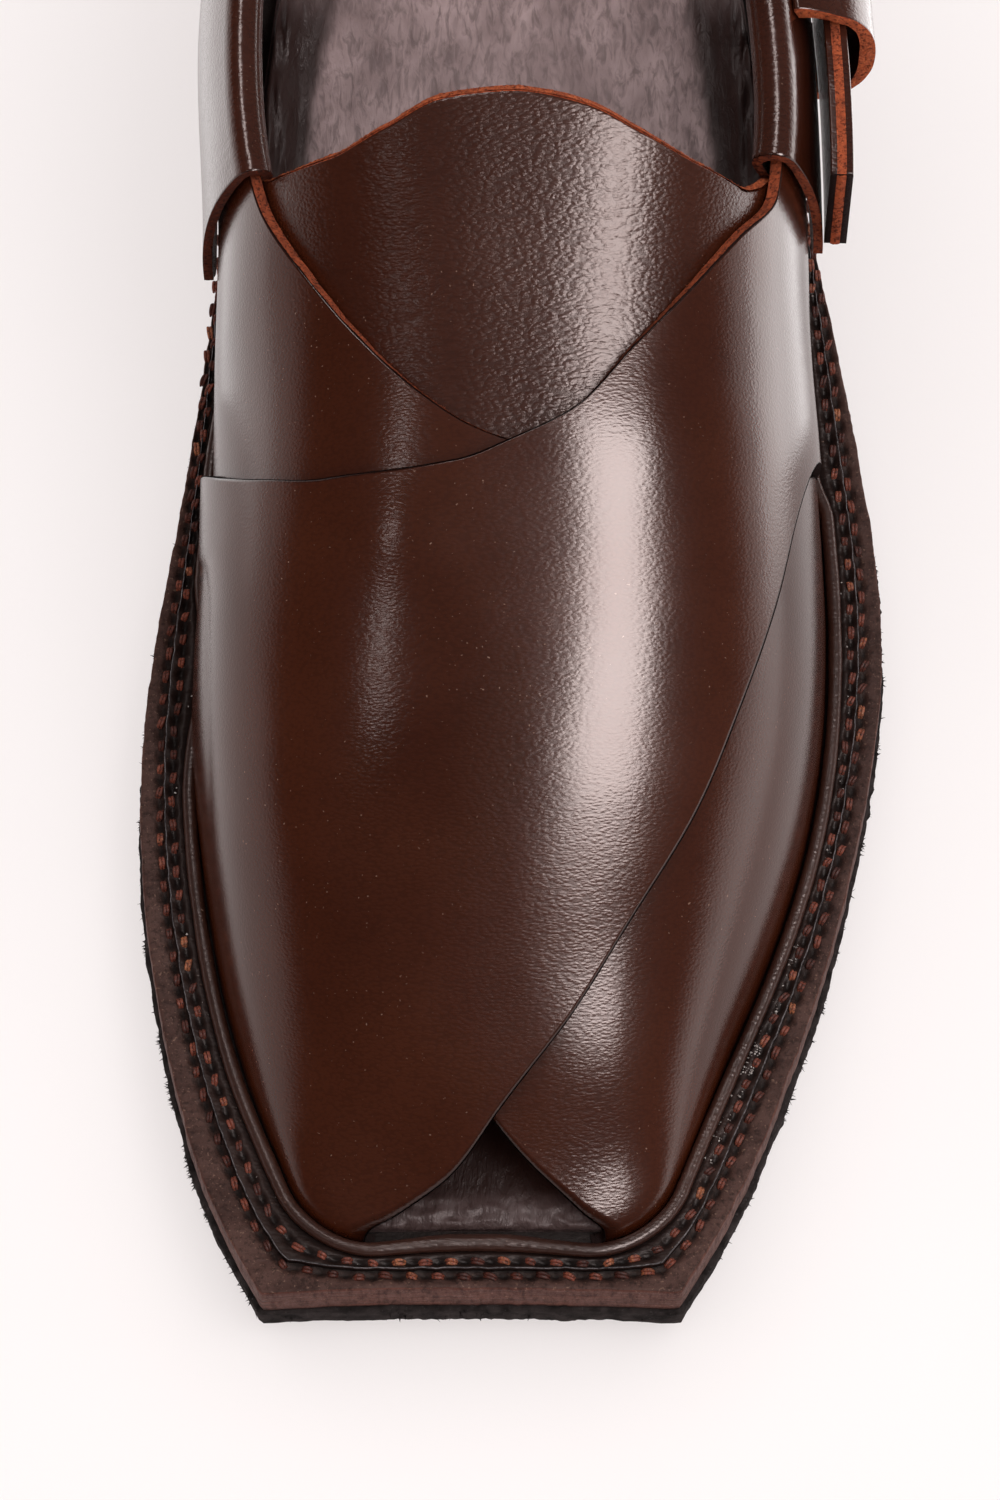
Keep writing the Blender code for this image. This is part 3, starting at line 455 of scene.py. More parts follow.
def cut_edge(name, outer, inner, away, paint, rng, rough=0.10, bulge=0.12, fibres=9.0, reach=0.6,
             stain=0.0):
    """The raw cut face between two paths, with fibres (so many a millimetre) standing off it; away
    points off the face. Where the stain is 1 the face is dark and smooth, and has no fibres."""
    place, length = resample(outer, EDGE_SPACING)
    top, low, out = pick(outer, place), pick(inner, place), unit(pick(away, place))
    stain = np.interp(place, np.arange(len(outer)), np.broadcast_to(stain, len(outer)))
    swell = bulge * np.sin(np.pi * np.clip(ACROSS, 0.08, 0.92)) ** 0.6
    count, width = len(place), len(ACROSS)
    grid = top[:, None] * (1 - ACROSS[:, None]) + low[:, None] * ACROSS[:, None]
    wobble = rough * rng.normal(0, 1, (count, width)) * (ACROSS > 0) * (ACROSS < 1)
    drift = [noise.noise(Vector((k * EDGE_SPACING * 0.35, 7.3, length))) for k in range(count)]
    lift = (swell + wobble + EDGE_DRIFT * np.array(drift)[:, None]) * (1 - 0.75 * stain[:, None])
    grid = grid + out[:, None] * lift[..., None]
    points = [grid.reshape(-1, 3)]
    faces = grid_faces(count, width).tolist()
    tones = [rng.uniform(0.25, 0.75, count * width)]
    stains = [np.repeat(stain, width)]
    where = rng.uniform(0, count - 1.001, int(length * fibres))
    bare = np.interp(where, np.arange(count), stain)
    where = where[rng.uniform(0, 1, len(where)) > bare * 1.2]
    hairs = len(where)
    depth = rng.uniform(0.03, 0.97, (hairs, 1))
    root = pick(top, where) * (1 - depth) + pick(low, where) * depth
    ahead = unit(pick(np.gradient(top, axis=0), where))
    off = pick(out, where)
    down = unit(pick(low, where) - pick(top, where))
    lean = off + ahead * rng.normal(0, 0.9, (hairs, 1)) + down * rng.normal(0, 0.45, (hairs, 1))
    tip = root + unit(lean) * reach * rng.uniform(0.25, 1.0, (hairs, 1)) ** 1.5
    wide = ahead * rng.uniform(*FIBRE_HALF_WIDTHS, (hairs, 1))
    thick = unit(np.cross(ahead, off)) * FIBRE_THICKNESS
    points.append(np.stack([root - wide, root + wide, root + thick, tip], axis=1).reshape(-1, 3))
    tones.append(np.repeat(rng.uniform(0, 1, hairs), 4))
    stains.append(np.repeat(np.interp(where, np.arange(count), stain), 4))
    faces += spikes(count * width, hairs)
    tones, stains = np.concatenate(tones), np.concatenate(stains)
    return new_piece(name, np.concatenate(points), faces, [paint], tones, None, stains)


# Materials

class Nodes:
    """Short ways to add and join the shader nodes of a material or a world."""

    def __init__(self, owner, shader="Principled BSDF", place="Object"):
        owner.use_nodes = True
        self.owner, self.tree = owner, owner.node_tree
        self.shader = self.tree.nodes[shader]
        self.place = self.add("ShaderNodeTexCoord").outputs[place]

    def add(self, kind, **settings):
        node = self.tree.nodes.new(kind)
        for key, value in settings.items():
            setattr(node, key, value)
        return node

    def put(self, node, socket, value):
        if isinstance(value, bpy.types.NodeSocket):
            self.tree.links.new(value, node.inputs[socket])
        else:
            node.inputs[socket].default_value = value

    def stretched(self, x, y, z):
        node = self.add("ShaderNodeMapping")
        self.put(node, "Vector", self.place)
        node.inputs["Scale"].default_value = (x, y, z)
        return node.outputs["Vector"]

    def noise(self, size, detail=2.0, rough=0.5, place=None, distortion=0.0):
        """Noise whose features are about size millimetres wide."""
        node = self.add("ShaderNodeTexNoise")
        self.put(node, "Vector", place or self.place)
        self.put(node, "Scale", 1000.0 / size)
        self.put(node, "Detail", detail)
        self.put(node, "Roughness", rough)
        self.put(node, "Distortion", distortion)
        return node.outputs["Fac"]

    def cells(self, size, place):
        """Distance from the middle of the nearest cell, of cells about size millimetres wide."""
        node = self.add("ShaderNodeTexVoronoi", feature="F1")
        self.put(node, "Vector", place)
        self.put(node, "Scale", 1000.0 / size)
        return node.outputs["Distance"]

    def fit(self, value, low, high, start=0.0, end=1.0):
        node = self.add("ShaderNodeMapRange")
        self.put(node, "Value", value)
        for socket, number in (("From Min", low), ("From Max", high), ("To Min", start), ("To Max", end)):
            self.put(node, socket, number)
        return node.outputs["Result"]

    def math(self, operation, a, b):
        node = self.add("ShaderNodeMath", operation=operation)
        self.put(node, 0, a)
        self.put(node, 1, b)
        return node.outputs[0]

    def mix(self, share, a, b):
        node = self.add("ShaderNodeMix", data_type="RGBA")
        self.put(node, 0, share)
        for socket, value in ((6, a), (7, b)):
            self.put(node, socket, (*value, 1.0) if isinstance(value, tuple) else value)
        return node.outputs[2]

    def over(self, colour, mask, amount, tone):
        """The colour with a tone laid over it where the mask is 1."""
        return self.mix(self.times(mask, amount), colour, tone)

    def layer(self, label):
        """The mesh's own tone, or its value of stain and painted shade."""
        return self.add("ShaderNodeAttribute", attribute_name=label).outputs["Fac"]

    def times(self, a, b):
        return self.math("MULTIPLY", a, b)

    def warped(self, size, reach, place):
        """The place, pushed about by a noise of a size; both in millimetres."""
        push = self.add("ShaderNodeTexNoise")
        self.put(push, "Vector", place)
        self.put(push, "Scale", 1000.0 / size)
        scaled = self.add("ShaderNodeVectorMath", operation="SCALE")
        self.put(scaled, 0, push.outputs["Color"])
        scaled.inputs["Scale"].default_value = reach * MM
        moved = self.add("ShaderNodeVectorMath", operation="ADD")
        self.put(moved, 0, place)
        self.put(moved, 1, scaled.outputs[0])
        return moved.outputs[0]

    def bump(self, height, depth, under=None):
        """Relief of a height from 0 to 1, depth millimetres deep."""
        node = self.add("ShaderNodeBump")
        self.put(node, "Strength", 1.0)
        self.put(node, "Distance", depth * MM)
        self.put(node, "Height", height)
        if under:
            self.put(node, "Normal", under)
        return node.outputs["Normal"]

    def surface(self, colour, roughness, normal=None, **plain):
        self.put(self.shader, "Base Color", colour)
        self.put(self.shader, "Roughness", roughness)
        if normal:
            self.put(self.shader, "Normal", normal)
        for socket, value in plain.items():
            self.shader.inputs[socket.replace("_", " ")].default_value = value
        return self.owner


def new_finish(name):
    return Nodes(bpy.data.materials.new(name))


def shade(tone, share):
    return tuple(part * share for part in tone)


POLISH_TINT = (1.0, 0.86, 0.83, 1.0)


def polished_leather(name, dark, light, grain, relief, rough, level):
    """Full-grain leather, polished: fine wrinkles that run across the shoe, with painted shade in their
    grooves, soft clouds of tone and specks of dust."""
    n = new_finish(name)
    across = n.warped(grain * 2.5, grain * 1.4, n.stretched(0.45, 1.0, 1.0))
    wrinkle = n.fit(n.cells(grain, across), 0.0, 0.75, 1.0, 0.0)
    fine = n.noise(grain * 0.5, 2.0, 0.6)
    cloud = n.noise(34.0, 3.0, 0.55)
    colour = n.mix(n.fit(cloud, 0.3, 0.7), dark, light)
    # painted shade: the grooves between the wrinkles are darkened
    colour = n.over(colour, n.fit(wrinkle, 0.4, 0.05), 0.22, shade(dark, 0.4))
    dust = n.times(n.fit(n.noise(0.5, 1.0, 0.4), 0.745, 0.79), n.fit(n.noise(18.0), 0.35, 0.65))
    colour = n.over(colour, dust, 0.35, (0.50, 0.30, 0.22))
    # darker where the mesh is marked: dyed borders of the bands and the straps' ends, and painted shade on
    # the welt's flange
    colour = n.over(colour, n.layer("stain"), 0.85, shade(dark, 0.2))
    normal = n.bump(wrinkle, relief)
    normal = n.bump(fine, relief * 0.35, normal)
    normal = n.bump(n.noise(6.0, 1.0, 0.4), 0.012, normal)
    gloss = n.fit(cloud, 0.3, 0.7, rough, rough + 0.04)
    return n.surface(colour, gloss, normal, Specular_IOR_Level=level, Specular_Tint=POLISH_TINT)


def raw_leather(name, dark, light, dust):
    """The cut face of leather: fuzzy grains of mixed tones, dark where it is stained."""
    n = new_finish(name)
    fibre = n.noise(0.75, 4.0, 0.75)
    grit = n.noise(0.55, 2.0, 0.6)
    colour = n.mix(n.fit(fibre, 0.36, 0.64), dark, light)
    colour = n.over(colour, n.layer("tone"), 0.3, dust)
    colour = n.over(colour, n.fit(grit, 0.53, 0.62), 0.75, shade(dark, 0.22))
    colour = n.over(colour, n.fit(n.noise(2.4, 2.0), 0.5, 0.75), 0.5, shade(dark, 0.35))
    colour = n.mix(n.layer("stain"), colour, shade(dark, 0.06))
    normal = n.bump(fibre, 0.32)
    return n.surface(colour, n.fit(fibre, 0.2, 0.8, 0.8, 0.98), normal, Specular_IOR_Level=0.12)


def wall_lining(name, dark, light):
    """Thin glossy lining, puckered into upright folds."""
    n = new_finish(name)
    folds = n.noise(2.6, 3.0, 0.6, n.warped(9.0, 2.5, n.stretched(1.0, 1.0, 0.22)))
    fine = n.noise(0.8, 3.0, 0.6, n.stretched(1.0, 1.0, 0.5))
    colour = n.mix(n.fit(folds, 0.35, 0.7), dark, light)
    normal = n.bump(folds, 0.8)
    normal = n.bump(fine, 0.10, normal)
    return n.surface(colour, n.fit(fine, 0.3, 0.7, 0.2, 0.34), normal, Specular_IOR_Level=0.35)


def insole_lining(name, dark, light):
    """Thin soft leather on padding: fine creases that run along the shoe and slow dents, with painted shade
    in the creases, and dark, glossy painted shade where the mesh marks it, under the toes and along the
    rolled sides."""
    n = new_finish(name)
    along = n.warped(6.0, 2.0, n.stretched(1.0, 0.32, 1.0))
    crease = n.noise(1.1, 3.0, 0.62, along, 0.6)
    soft = n.noise(6.0, 3.0, 0.55, n.warped(12.0, 5.0, n.stretched(1.0, 0.6, 1.0)))
    fine = n.noise(0.35, 2.0, 0.6)
    colour = n.mix(n.fit(soft, 0.3, 0.7), dark, light)
    # painted shade in the creases
    colour = n.over(colour, n.fit(crease, 0.56, 0.36), 0.6, shade(dark, 0.45))
    colour = n.over(colour, n.fit(n.noise(22.0, 3.0), 0.4, 0.7), 0.3, dark)
    # painted shade under the toes and beside the rolled sides
    colour = n.mix(n.layer("stain"), colour, (0.020, 0.0065, 0.0045))
    normal = n.bump(soft, 0.35)
    normal = n.bump(crease, 0.30, normal)
    normal = n.bump(fine, 0.03, normal)
    rough = n.math("SUBTRACT", n.fit(soft, 0.3, 0.7, 0.5, 0.62), n.times(n.layer("stain"), 0.12))
    return n.surface(colour, rough, normal, Specular_IOR_Level=0.2, Specular_Tint=(1.0, 0.88, 0.87, 1.0))


def sole_leather(name, dark, light):
    """Stacked vegetable-tanned leather, stained on its edge: fibres, layers, scratches and dust."""
    n = new_finish(name)
    layers = n.noise(1.3, 4.0, 0.65, n.stretched(0.10, 0.10, 1.0))
    scratch = n.noise(0.9, 4.0, 0.7, n.stretched(1.0, 1.0, 0.3))
    grit = n.noise(0.5, 2.0, 0.6)
    colour = n.mix(n.fit(layers, 0.36, 0.64), dark, light)
    colour = n.over(colour, n.fit(scratch, 0.48, 0.66), 0.7, shade(dark, 0.35))
    colour = n.over(colour, n.fit(grit, 0.62, 0.72), 0.4, (0.30, 0.17, 0.12))
    # darker where the mesh is marked: painted shade on the midsole's margin, and a darker worn corner at
    # the foot of its edge
    colour = n.over(colour, n.layer("stain"), 0.93, (0.005, 0.0025, 0.002))
    normal = n.bump(layers, 0.22)
    normal = n.bump(scratch, 0.22, normal)
    rough = n.fit(scratch, 0.3, 0.7, 0.5, 0.75)
    return n.surface(colour, rough, normal, Specular_IOR_Level=0.14, Specular_Tint=POLISH_TINT)


def crumb_rubber(name, dark, light):
    """Cut rubber: matt, granular, a little dusty."""
    n = new_finish(name)
    grain = n.noise(0.5, 3.0, 0.7)
    lumps = n.noise(2.5, 3.0, 0.6)
    colour = n.mix(n.fit(lumps, 0.35, 0.7), dark, light)
    colour = n.over(colour, n.fit(grain, 0.6, 0.75), 0.4, (0.15, 0.13, 0.13))
    normal = n.bump(grain, 0.12)
    normal = n.bump(lumps, 0.2, normal)
    return n.surface(colour, n.fit(grain, 0.3, 0.7, 0.75, 0.95), normal, Specular_IOR_Level=0.03)


def thread_material(name):
    """Waxed thread, two plies, rust red, lighter in a few stitches and dirty in places."""
    n = new_finish(name)
    tone = n.layer("tone")
    colour = n.mix(n.fit(tone, 0.0, 0.85), (0.060, 0.013, 0.008), (0.200, 0.045, 0.024))
    colour = n.over(colour, n.fit(tone, 0.88, 1.0), 0.6, (0.42, 0.15, 0.06))
    twist = n.noise(0.4, 3.0, 0.65)
    colour = n.over(colour, n.fit(twist, 0.48, 0.64), 0.85, (0.020, 0.007, 0.005))
    rough = n.fit(twist, 0.3, 0.7, 0.45, 0.7)
    return n.surface(colour, rough, n.bump(twist, 0.15), Specular_IOR_Level=0.22)


def dried_glue(name):
    """Pale crumbs of glue and dust caught beside the bead."""
    n = new_finish(name)
    tone = n.layer("tone")
    colour = n.mix(n.fit(tone, 0.0, 1.0), (0.10, 0.06, 0.05), (0.55, 0.48, 0.45))
    return n.surface(colour, n.fit(n.noise(0.3), 0.3, 0.7, 0.45, 0.7), n.bump(n.noise(0.25, 2.0), 0.05))


def dull_metal(name):
    n = new_finish(name)
    wear = n.noise(3.0, 4.0, 0.6)
    brush = n.noise(0.6, 2.0, 0.6, n.stretched(1.0, 0.15, 1.0))
    colour = n.mix(n.fit(wear, 0.35, 0.7), (0.30, 0.27, 0.22), (0.58, 0.54, 0.47))
    return n.surface(colour, n.fit(brush, 0.3, 0.7, 0.22, 0.38), n.bump(brush, 0.02), Metallic=1.0)


def pale_floor(name):
    n = new_finish(name)
    colour = n.mix(n.noise(60.0, 2.0), (0.40, 0.38, 0.377), (0.42, 0.40, 0.397))
    rough = n.fit(n.noise(2.0, 2.0), 0.3, 0.7, 0.85, 0.95)
    return n.surface(
        colour, rough, n.bump(n.noise(1.0, 2.0), 0.02),
        Specular_IOR_Level=0.0, Emission_Color=(1.0, 0.93, 0.92, 1.0), Emission_Strength=0.57,
    )


# The upper

# How far the top band's underside stands off the band that it covers, in millimetres
LAP = 0.05


def band_points(table, mirrored, rows, steps):
    """Outer and inner grids of a band. A mirrored band's girth is counted from the lateral side."""
    places = np.arange(len(table))
    curves = [steady(places, table[:, k]) for k in range(4)]
    row = np.linspace(0, len(table) - 1, rows)[:, None]
    share = np.linspace(0, 1, steps)[None, :]
    rear_station, rear_girth, front_station, front_girth = (curve(row) for curve in curves)
    station = rear_station + (front_station - rear_station) * share
    girth = rear_girth + (front_girth - rear_girth) * share
    if mirrored:
        girth = 1 - girth
        lift = np.zeros_like(station)
        uneven = soft_uneven(station, girth, 3.0) + full_toe(station, girth)
    else:
        lift = top_cover(station, girth) * (BAND + LAP)
        uneven = soft_uneven(station, girth, 0.0) + full_toe(station, girth)
        uneven = uneven + inner_bump(station, girth) - outer_hollow(station, girth)
    return over_last(station, girth, lift + BAND + uneven), over_last(station, girth, lift)


def hill(station, girth, middle, radius, around=None):
    """1 at the middle (station, girth), falling off over a radius in millimetres."""
    if around is None:
        around = np.interp(station, NET_STATIONS, NET_AROUND)
    ahead = (station - middle[0]) / radius[0]
    beside = (girth - middle[1]) * around / radius[1]
    return np.exp(-(ahead**2) - beside**2)


def full_toe(station, girth):
    """The outer toe is a little fuller than the plain last."""
    return 1.2 * hill(station, girth, (33.0, 0.76), (13.0, 14.0))


def inner_bump(station, girth):
    """A small bump of the top band beside its rear edge, over the joint of the big toe."""
    return 0.55 * hill(station, girth, (105.5, 0.39), (7.0, 8.0), around=200.0)


def outer_hollow(station, girth):
    """The top band sinks in a little at its outer wing, behind the under band's corner."""
    return 1.0 * np.exp(-(((station - 143.0) / 11.0) ** 2)) * ease((girth - 0.82) / 0.12)


def throat(table):
    girths = table[2:, 1]
    return steady(girths[::-1], table[2:, 0][::-1])


TOP_THROAT = throat(TOP_BAND)
UNDER_THROAT = throat(UNDER_BAND)
UNDER_FRONT = steady(UNDER_BAND[::-1, 2], UNDER_BAND[::-1, 3])


def under_cover(station, girth):
    """1 where the top band lies on the under band, falling to 0 where it has come down past it."""
    own = 1 - girth
    around = np.interp(station, NET_STATIONS, NET_AROUND)
    behind = np.where(own < UNDER_BAND[2, 1], UNDER_THROAT(own) - station, 0.0)
    beside = (UNDER_FRONT(station) - own) * around
    behind_drape = DRAPE + (LONG_DRAPE - DRAPE) * ease(own * around / FOOT)
    beside_drape = np.clip(0.9 * (1 - UNDER_FRONT(station)) * around, DRAPE, LONG_DRAPE)
    return ease(behind / behind_drape + 1) * ease(beside / beside_drape + 1)


def top_cover(station, girth):
    """The top band's lift off the last, as a share of the under band's thickness: its lap over the
    under band, a slow rise at the inner ball, and none at the outer wing."""
    inner_ball = 0.75 * ease((station - 58.0) / 55.0) * ease((0.28 - girth) / 0.2)
    outer_wing = ease((station - 124.0) / 8.0) * ease((girth - 0.84) / 0.1)
    return np.maximum(under_cover(station, girth), inner_ball) * (1 - outer_wing)


def soft_uneven(station, girth, seed):
    """Small slow waves of thick leather, in millimetres."""
    flat = []
    for s, g in zip(np.ravel(station), np.ravel(girth)):
        slow = noise.noise(Vector((s / 26.0, g * 5.0, seed))) * 0.16
        flat.append(slow + noise.noise(Vector((s / 9.0, g * 15.0, seed + 9))) * 0.035)
    return np.array(flat).reshape(np.shape(station))


def rounded(grid, inset=0.22):
    """The grid with its first and last columns drawn in a little, so that the cut faces stand out
    under soft corners."""
    grid = grid.copy()
    for side, near in ((0, 1), (-1, -2)):
        grid[:, side] += unit(grid[:, near] - grid[:, side]) * inset
    return grid


def rim_stain(grid, sides):
    """Stains a narrow line along the given borders of a grid."""
    stain = np.zeros(grid.shape[:2])
    for side in sides:
        stain[:, side] = 1.0
    return stain


def make_band(name, table, mirrored, leather, lining, raw, rng, rows=270, steps=104):
    """One band with its two cut edges; the rear edge is pale at the wing and stained further on."""
    outer, inner = band_points(table, mirrored, rows, steps)
    flip = not mirrored
    stains = rim_stain(outer, (0, -1))
    band = sheet(name, rounded(outer), inner, [leather, lining, raw], flip=flip, stains=stains)
    stands_for(band, "brown_leather", "upper")
    row = np.linspace(0, len(table) - 1, rows)
    stained_from, fade = (9.0, 2.0) if mirrored else (4.0, 4.0)
    rear_stain = 0.25 + 0.75 * ease((row - stained_from) / fade)
    for edge, column, near, stain in (("rear_edge", 0, 1, rear_stain), ("front_edge", -1, -2, 1.0)):
        away = outer[:, column] - outer[:, near]
        low = outer[:, column] + (inner[:, column] - outer[:, column]) * 0.97
        strip = cut_edge(f"{name}_{edge}", outer[:, column], low, away, raw, rng, stain=stain)
        stands_for(strip, "brown_leather", "upper")


FLAP_GAP = 0.45
FLAP_TUCK = 12.0
SKIVE = 0.9
SKIVE_AT_ENDS = 0.35
# girth and station of the flap's wavy rear edge
FLAP_EDGE = np.array((
    (0.225, 167.0),
    (0.246, 165.6),
    (0.272, 163.4),
    (0.345, 162.1),
    (0.397, 164.7),
    (0.445, 168.3),
    (0.500, 169.3),
    (0.555, 167.5),
    (0.603, 163.9),
    (0.655, 161.2),
    (0.705, 160.6),
    (0.732, 162.4),
    (0.754, 165.2),
    (0.775, 167.0),
))


def make_flap(leather, lining, raw, rng, columns=230, steps=90):
    """The flap tucked in under both bands; its wavy rear edge is skived."""
    edge = steady(FLAP_EDGE[:, 0], FLAP_EDGE[:, 1])
    girth = np.linspace(FLAP_EDGE[0, 0], FLAP_EDGE[-1, 0], columns)
    front = np.where(girth >= 0.5, TOP_THROAT(girth), UNDER_THROAT(1 - girth)) - FLAP_TUCK
    rear = edge(girth)
    share = np.linspace(0, 1, steps)[None, :]
    station = front[:, None] + (rear - front)[:, None] * share
    spread = np.broadcast_to(girth[:, None], station.shape)
    arch = np.sin(np.linspace(0, math.pi, columns))
    bevel = SKIVE * (SKIVE_AT_ENDS + (1 - SKIVE_AT_ENDS) * arch)
    skived = front[:, None] + (rear - bevel - front)[:, None] * share
    outer = over_last(skived, spread, -FLAP_GAP + soft_uneven(skived, spread, 5.0) * 0.6)
    inner = over_last(station, spread, -FLAP_GAP - FLAP)
    flap = sheet("tongue_flap", rounded(outer), inner, [leather, lining, raw], flip=True)
    stands_for(flap, "brown_leather", "tongue")
    away = outer[:, -1] - outer[:, -2]
    strip = cut_edge("tongue_edge", outer[:, -1], inner[:, -1], away, raw, rng, stain=0.2)
    stands_for(strip, "brown_leather", "tongue")


# The sole

RINGS = 1500
BEAD_RADIUS = 1.1
BEAD_OUT = BAND + GAP + BEAD_RADIUS
BEAD_UP = 1.5
BEAD_FACES = 20
TOE_GAP = 1.3
TOE_SWELL = 0.30
STITCH = 3.95
LOOP_LENGTH = 740.0
OUTLINE_POINTS = 2400
WIDEST_REACH = 25.0
HALVINGS = 26
# rings to either side over which a direction or a smoothing is taken
AHEAD_SPAN = 6
SMOOTH_SPAN = 12


def feather_loop(count):
    """Even points round the feather line: back along the medial side, forward along the lateral
    side and across the toe."""
    reach = HEEL_CENTRE + LAST_HEEL_REACH - LAST_TOE
    stations = LAST_TOE + reach * (1 - np.cos(np.linspace(0, math.pi, OUTLINE_POINTS))) / 2
    medial, lateral = last_sides(stations)
    loop = np.concatenate([
        np.column_stack([medial, stations]),
        np.column_stack([lateral, stations])[::-1],
        [[medial[0], stations[0]]],
    ])
    run = np.concatenate([[0], np.cumsum(np.hypot(*np.diff(loop, axis=0).T))])
    even = np.linspace(0, run[-1], count, endpoint=False)
    return np.column_stack([np.interp(even, run, loop[:, k]) for k in (0, 1)])


LOOP = feather_loop(RINGS)
AHEAD = np.roll(LOOP, -AHEAD_SPAN, axis=0) - np.roll(LOOP, AHEAD_SPAN, axis=0)
OUTWARD = unit(np.column_stack([-AHEAD[:, 1], AHEAD[:, 0]]))


def reach_to_sole_edge():
    """How far the sole's edge lies outside the feather line at each ring, found by halving."""
    near, far = np.zeros(RINGS), np.full(RINGS, WIDEST_REACH)
    for _ in range(HALVINGS):
        middle = (near + far) / 2
        x, station = (LOOP + OUTWARD * middle[:, None]).T
        left, right = sole_sides(np.clip(station, 0, LENGTH))
        share = np.clip((x - (left + right) / 2) / np.maximum((right - left) / 2, 1e-6), -1, 1)
        front = TOE_HOLLOW * (1 - share**2) * (1 - ease(station / 12.0))
        inside = (station > front) & (station < LENGTH) & (left < x) & (x < right)
        near, far = np.where(inside, middle, near), np.where(inside, far, middle)
    return near


REACH = reach_to_sole_edge()


def toe_gap():
    """1 across the open toe, where the bead lies further in and is thicker, and 0 elsewhere."""
    x, station = LOOP.T
    gap = ease((x + 24.0) / 17.0) * ease((14.5 - x) / 17.0)
    return np.where(station > LAST_TOE + 2.0, 0.0, gap)


def wall_lean():
    """How far the last's wall stands outside the feather line at the bead's height, smoothed."""
    leans = []
    for x, station in LOOP:
        side = -1 if x < 0 else 1
        ahead = min(station, HEEL_CENTRE)
        wall = wall_x(ahead, side, feather_height(ahead) + BEAD_UP + BEAD_RADIUS / 2)
        leans.append(max(side * wall - side * last_sides(ahead)[side > 0], 0))
    leans = np.array(leans)
    window = np.hanning(2 * SMOOTH_SPAN + 1)
    joined = np.concatenate([leans[-SMOOTH_SPAN:], leans, leans[:SMOOTH_SPAN]])
    return np.convolve(joined, window / window.sum(), "valid")


def bands_overlap():
    """1 on the inner side where the top band lies over the under band, and 0 elsewhere."""
    x, station = LOOP.T
    return np.where(x < 0, ease((station - 106.0) / 14.0) * ease((162.0 - station) / 26.0), 0.0)


def drawn_in():
    """How far the bead is pressed in under the overhang of the bands, behind the ball."""
    x, station = LOOP.T
    inner_side = 2.1 * ease((station - 82.0) / 24.0) * ease((195.0 - station) / 20.0)
    outer_side = 1.6 * ease((station - 130.0) / 8.0) * ease((195.0 - station) / 20.0)
    return np.where(x < 0, inner_side, outer_side)


BACK = wall_lean() + BAND * bands_overlap() - TOE_GAP * toe_gap() - drawn_in()
FLANGE = (BEAD_OUT + REACH) / 2


def swept(out, up):
    """Points at a distance out from the feather line and up from its height, round the whole loop."""
    out, up = np.broadcast_to(out, RINGS), np.broadcast_to(up, RINGS)
    x, station = (LOOP + OUTWARD * out[:, None]).T
    return np.column_stack([x, station, feather_height(np.clip(station, 0, LENGTH)) + up])


def row_run(out):
    """Length passed along a row of stitches at each ring, and the number of its stitches."""
    path = swept(out, 0.0)
    steps = np.linalg.norm(np.roll(path, -1, axis=0) - path, axis=1)
    run = np.concatenate([[0], np.cumsum(steps)])
    count = round(run[-1] / STITCH)
    return run, count


def holes(run, count, offset=0.5):
    """1 at a stitch's hole and 0 between, round the loop."""
    phase = run[:-1] / run[-1] * count + offset
    return np.abs(np.cos(np.pi * phase)) ** 3


def fuzz(seed, size):
    """Noise round the loop that joins up with itself; size is in millimetres."""
    radius = LOOP_LENGTH / (2 * math.pi) / size
    turn = np.linspace(0, 2 * math.pi, RINGS, endpoint=False)
    circle = [(math.cos(t) * radius, math.sin(t) * radius, seed) for t in turn]
    return np.array([noise.noise(Vector(point)) for point in circle])


def loft(name, rings, paints, indices, caps=(), stains=None):
    """A skin round the loop: rings[k] is the path of the profile's point k. Caps are columns closed
    by one face each, and whether it is turned over."""
    grid = np.stack(rings, axis=1)
    count, steps = grid.shape[:2]
    quads = grid_faces(count, steps, wrap=True)
    faces = quads.tolist()
    index = np.tile(np.asarray(indices), count).tolist()
    for column, flip in caps:
        face = [k * steps + column for k in range(count)]
        faces.append(face[::-1] if flip else face)
        index.append(indices[column - 1] if column else indices[0])
    if stains is not None:
        stains = np.stack(np.broadcast_arrays(*stains, LOOP[:, 0])[:-1], axis=1).ravel()
    return new_piece(name, grid.reshape(-1, 3), faces, paints, None, index, stains)


INNER_ROW = (BEAD_OUT + BEAD_RADIUS + BACK * 0.6 + FLANGE) / 2 + 0.15
OUTER_ROW = FLANGE + 0.75


def make_bead(leather):
    """The glossy rolled bead beside the bands."""
    rough = fuzz(2.0, 9.0) * 0.10 + fuzz(3.0, 2.0) * 0.03
    radius = BEAD_RADIUS + TOE_SWELL * toe_gap() + rough
    rings = []
    for k in range(BEAD_FACES + 1):
        turn = 2 * math.pi * k / BEAD_FACES
        out = BEAD_OUT + BACK + radius * math.cos(turn)
        rings.append(swept(out, BEAD_UP + radius * math.sin(turn)))
    tube = loft("welt_bead", rings, [leather], [0] * BEAD_FACES)
    stands_for(tube, "brown_leather", "welt")


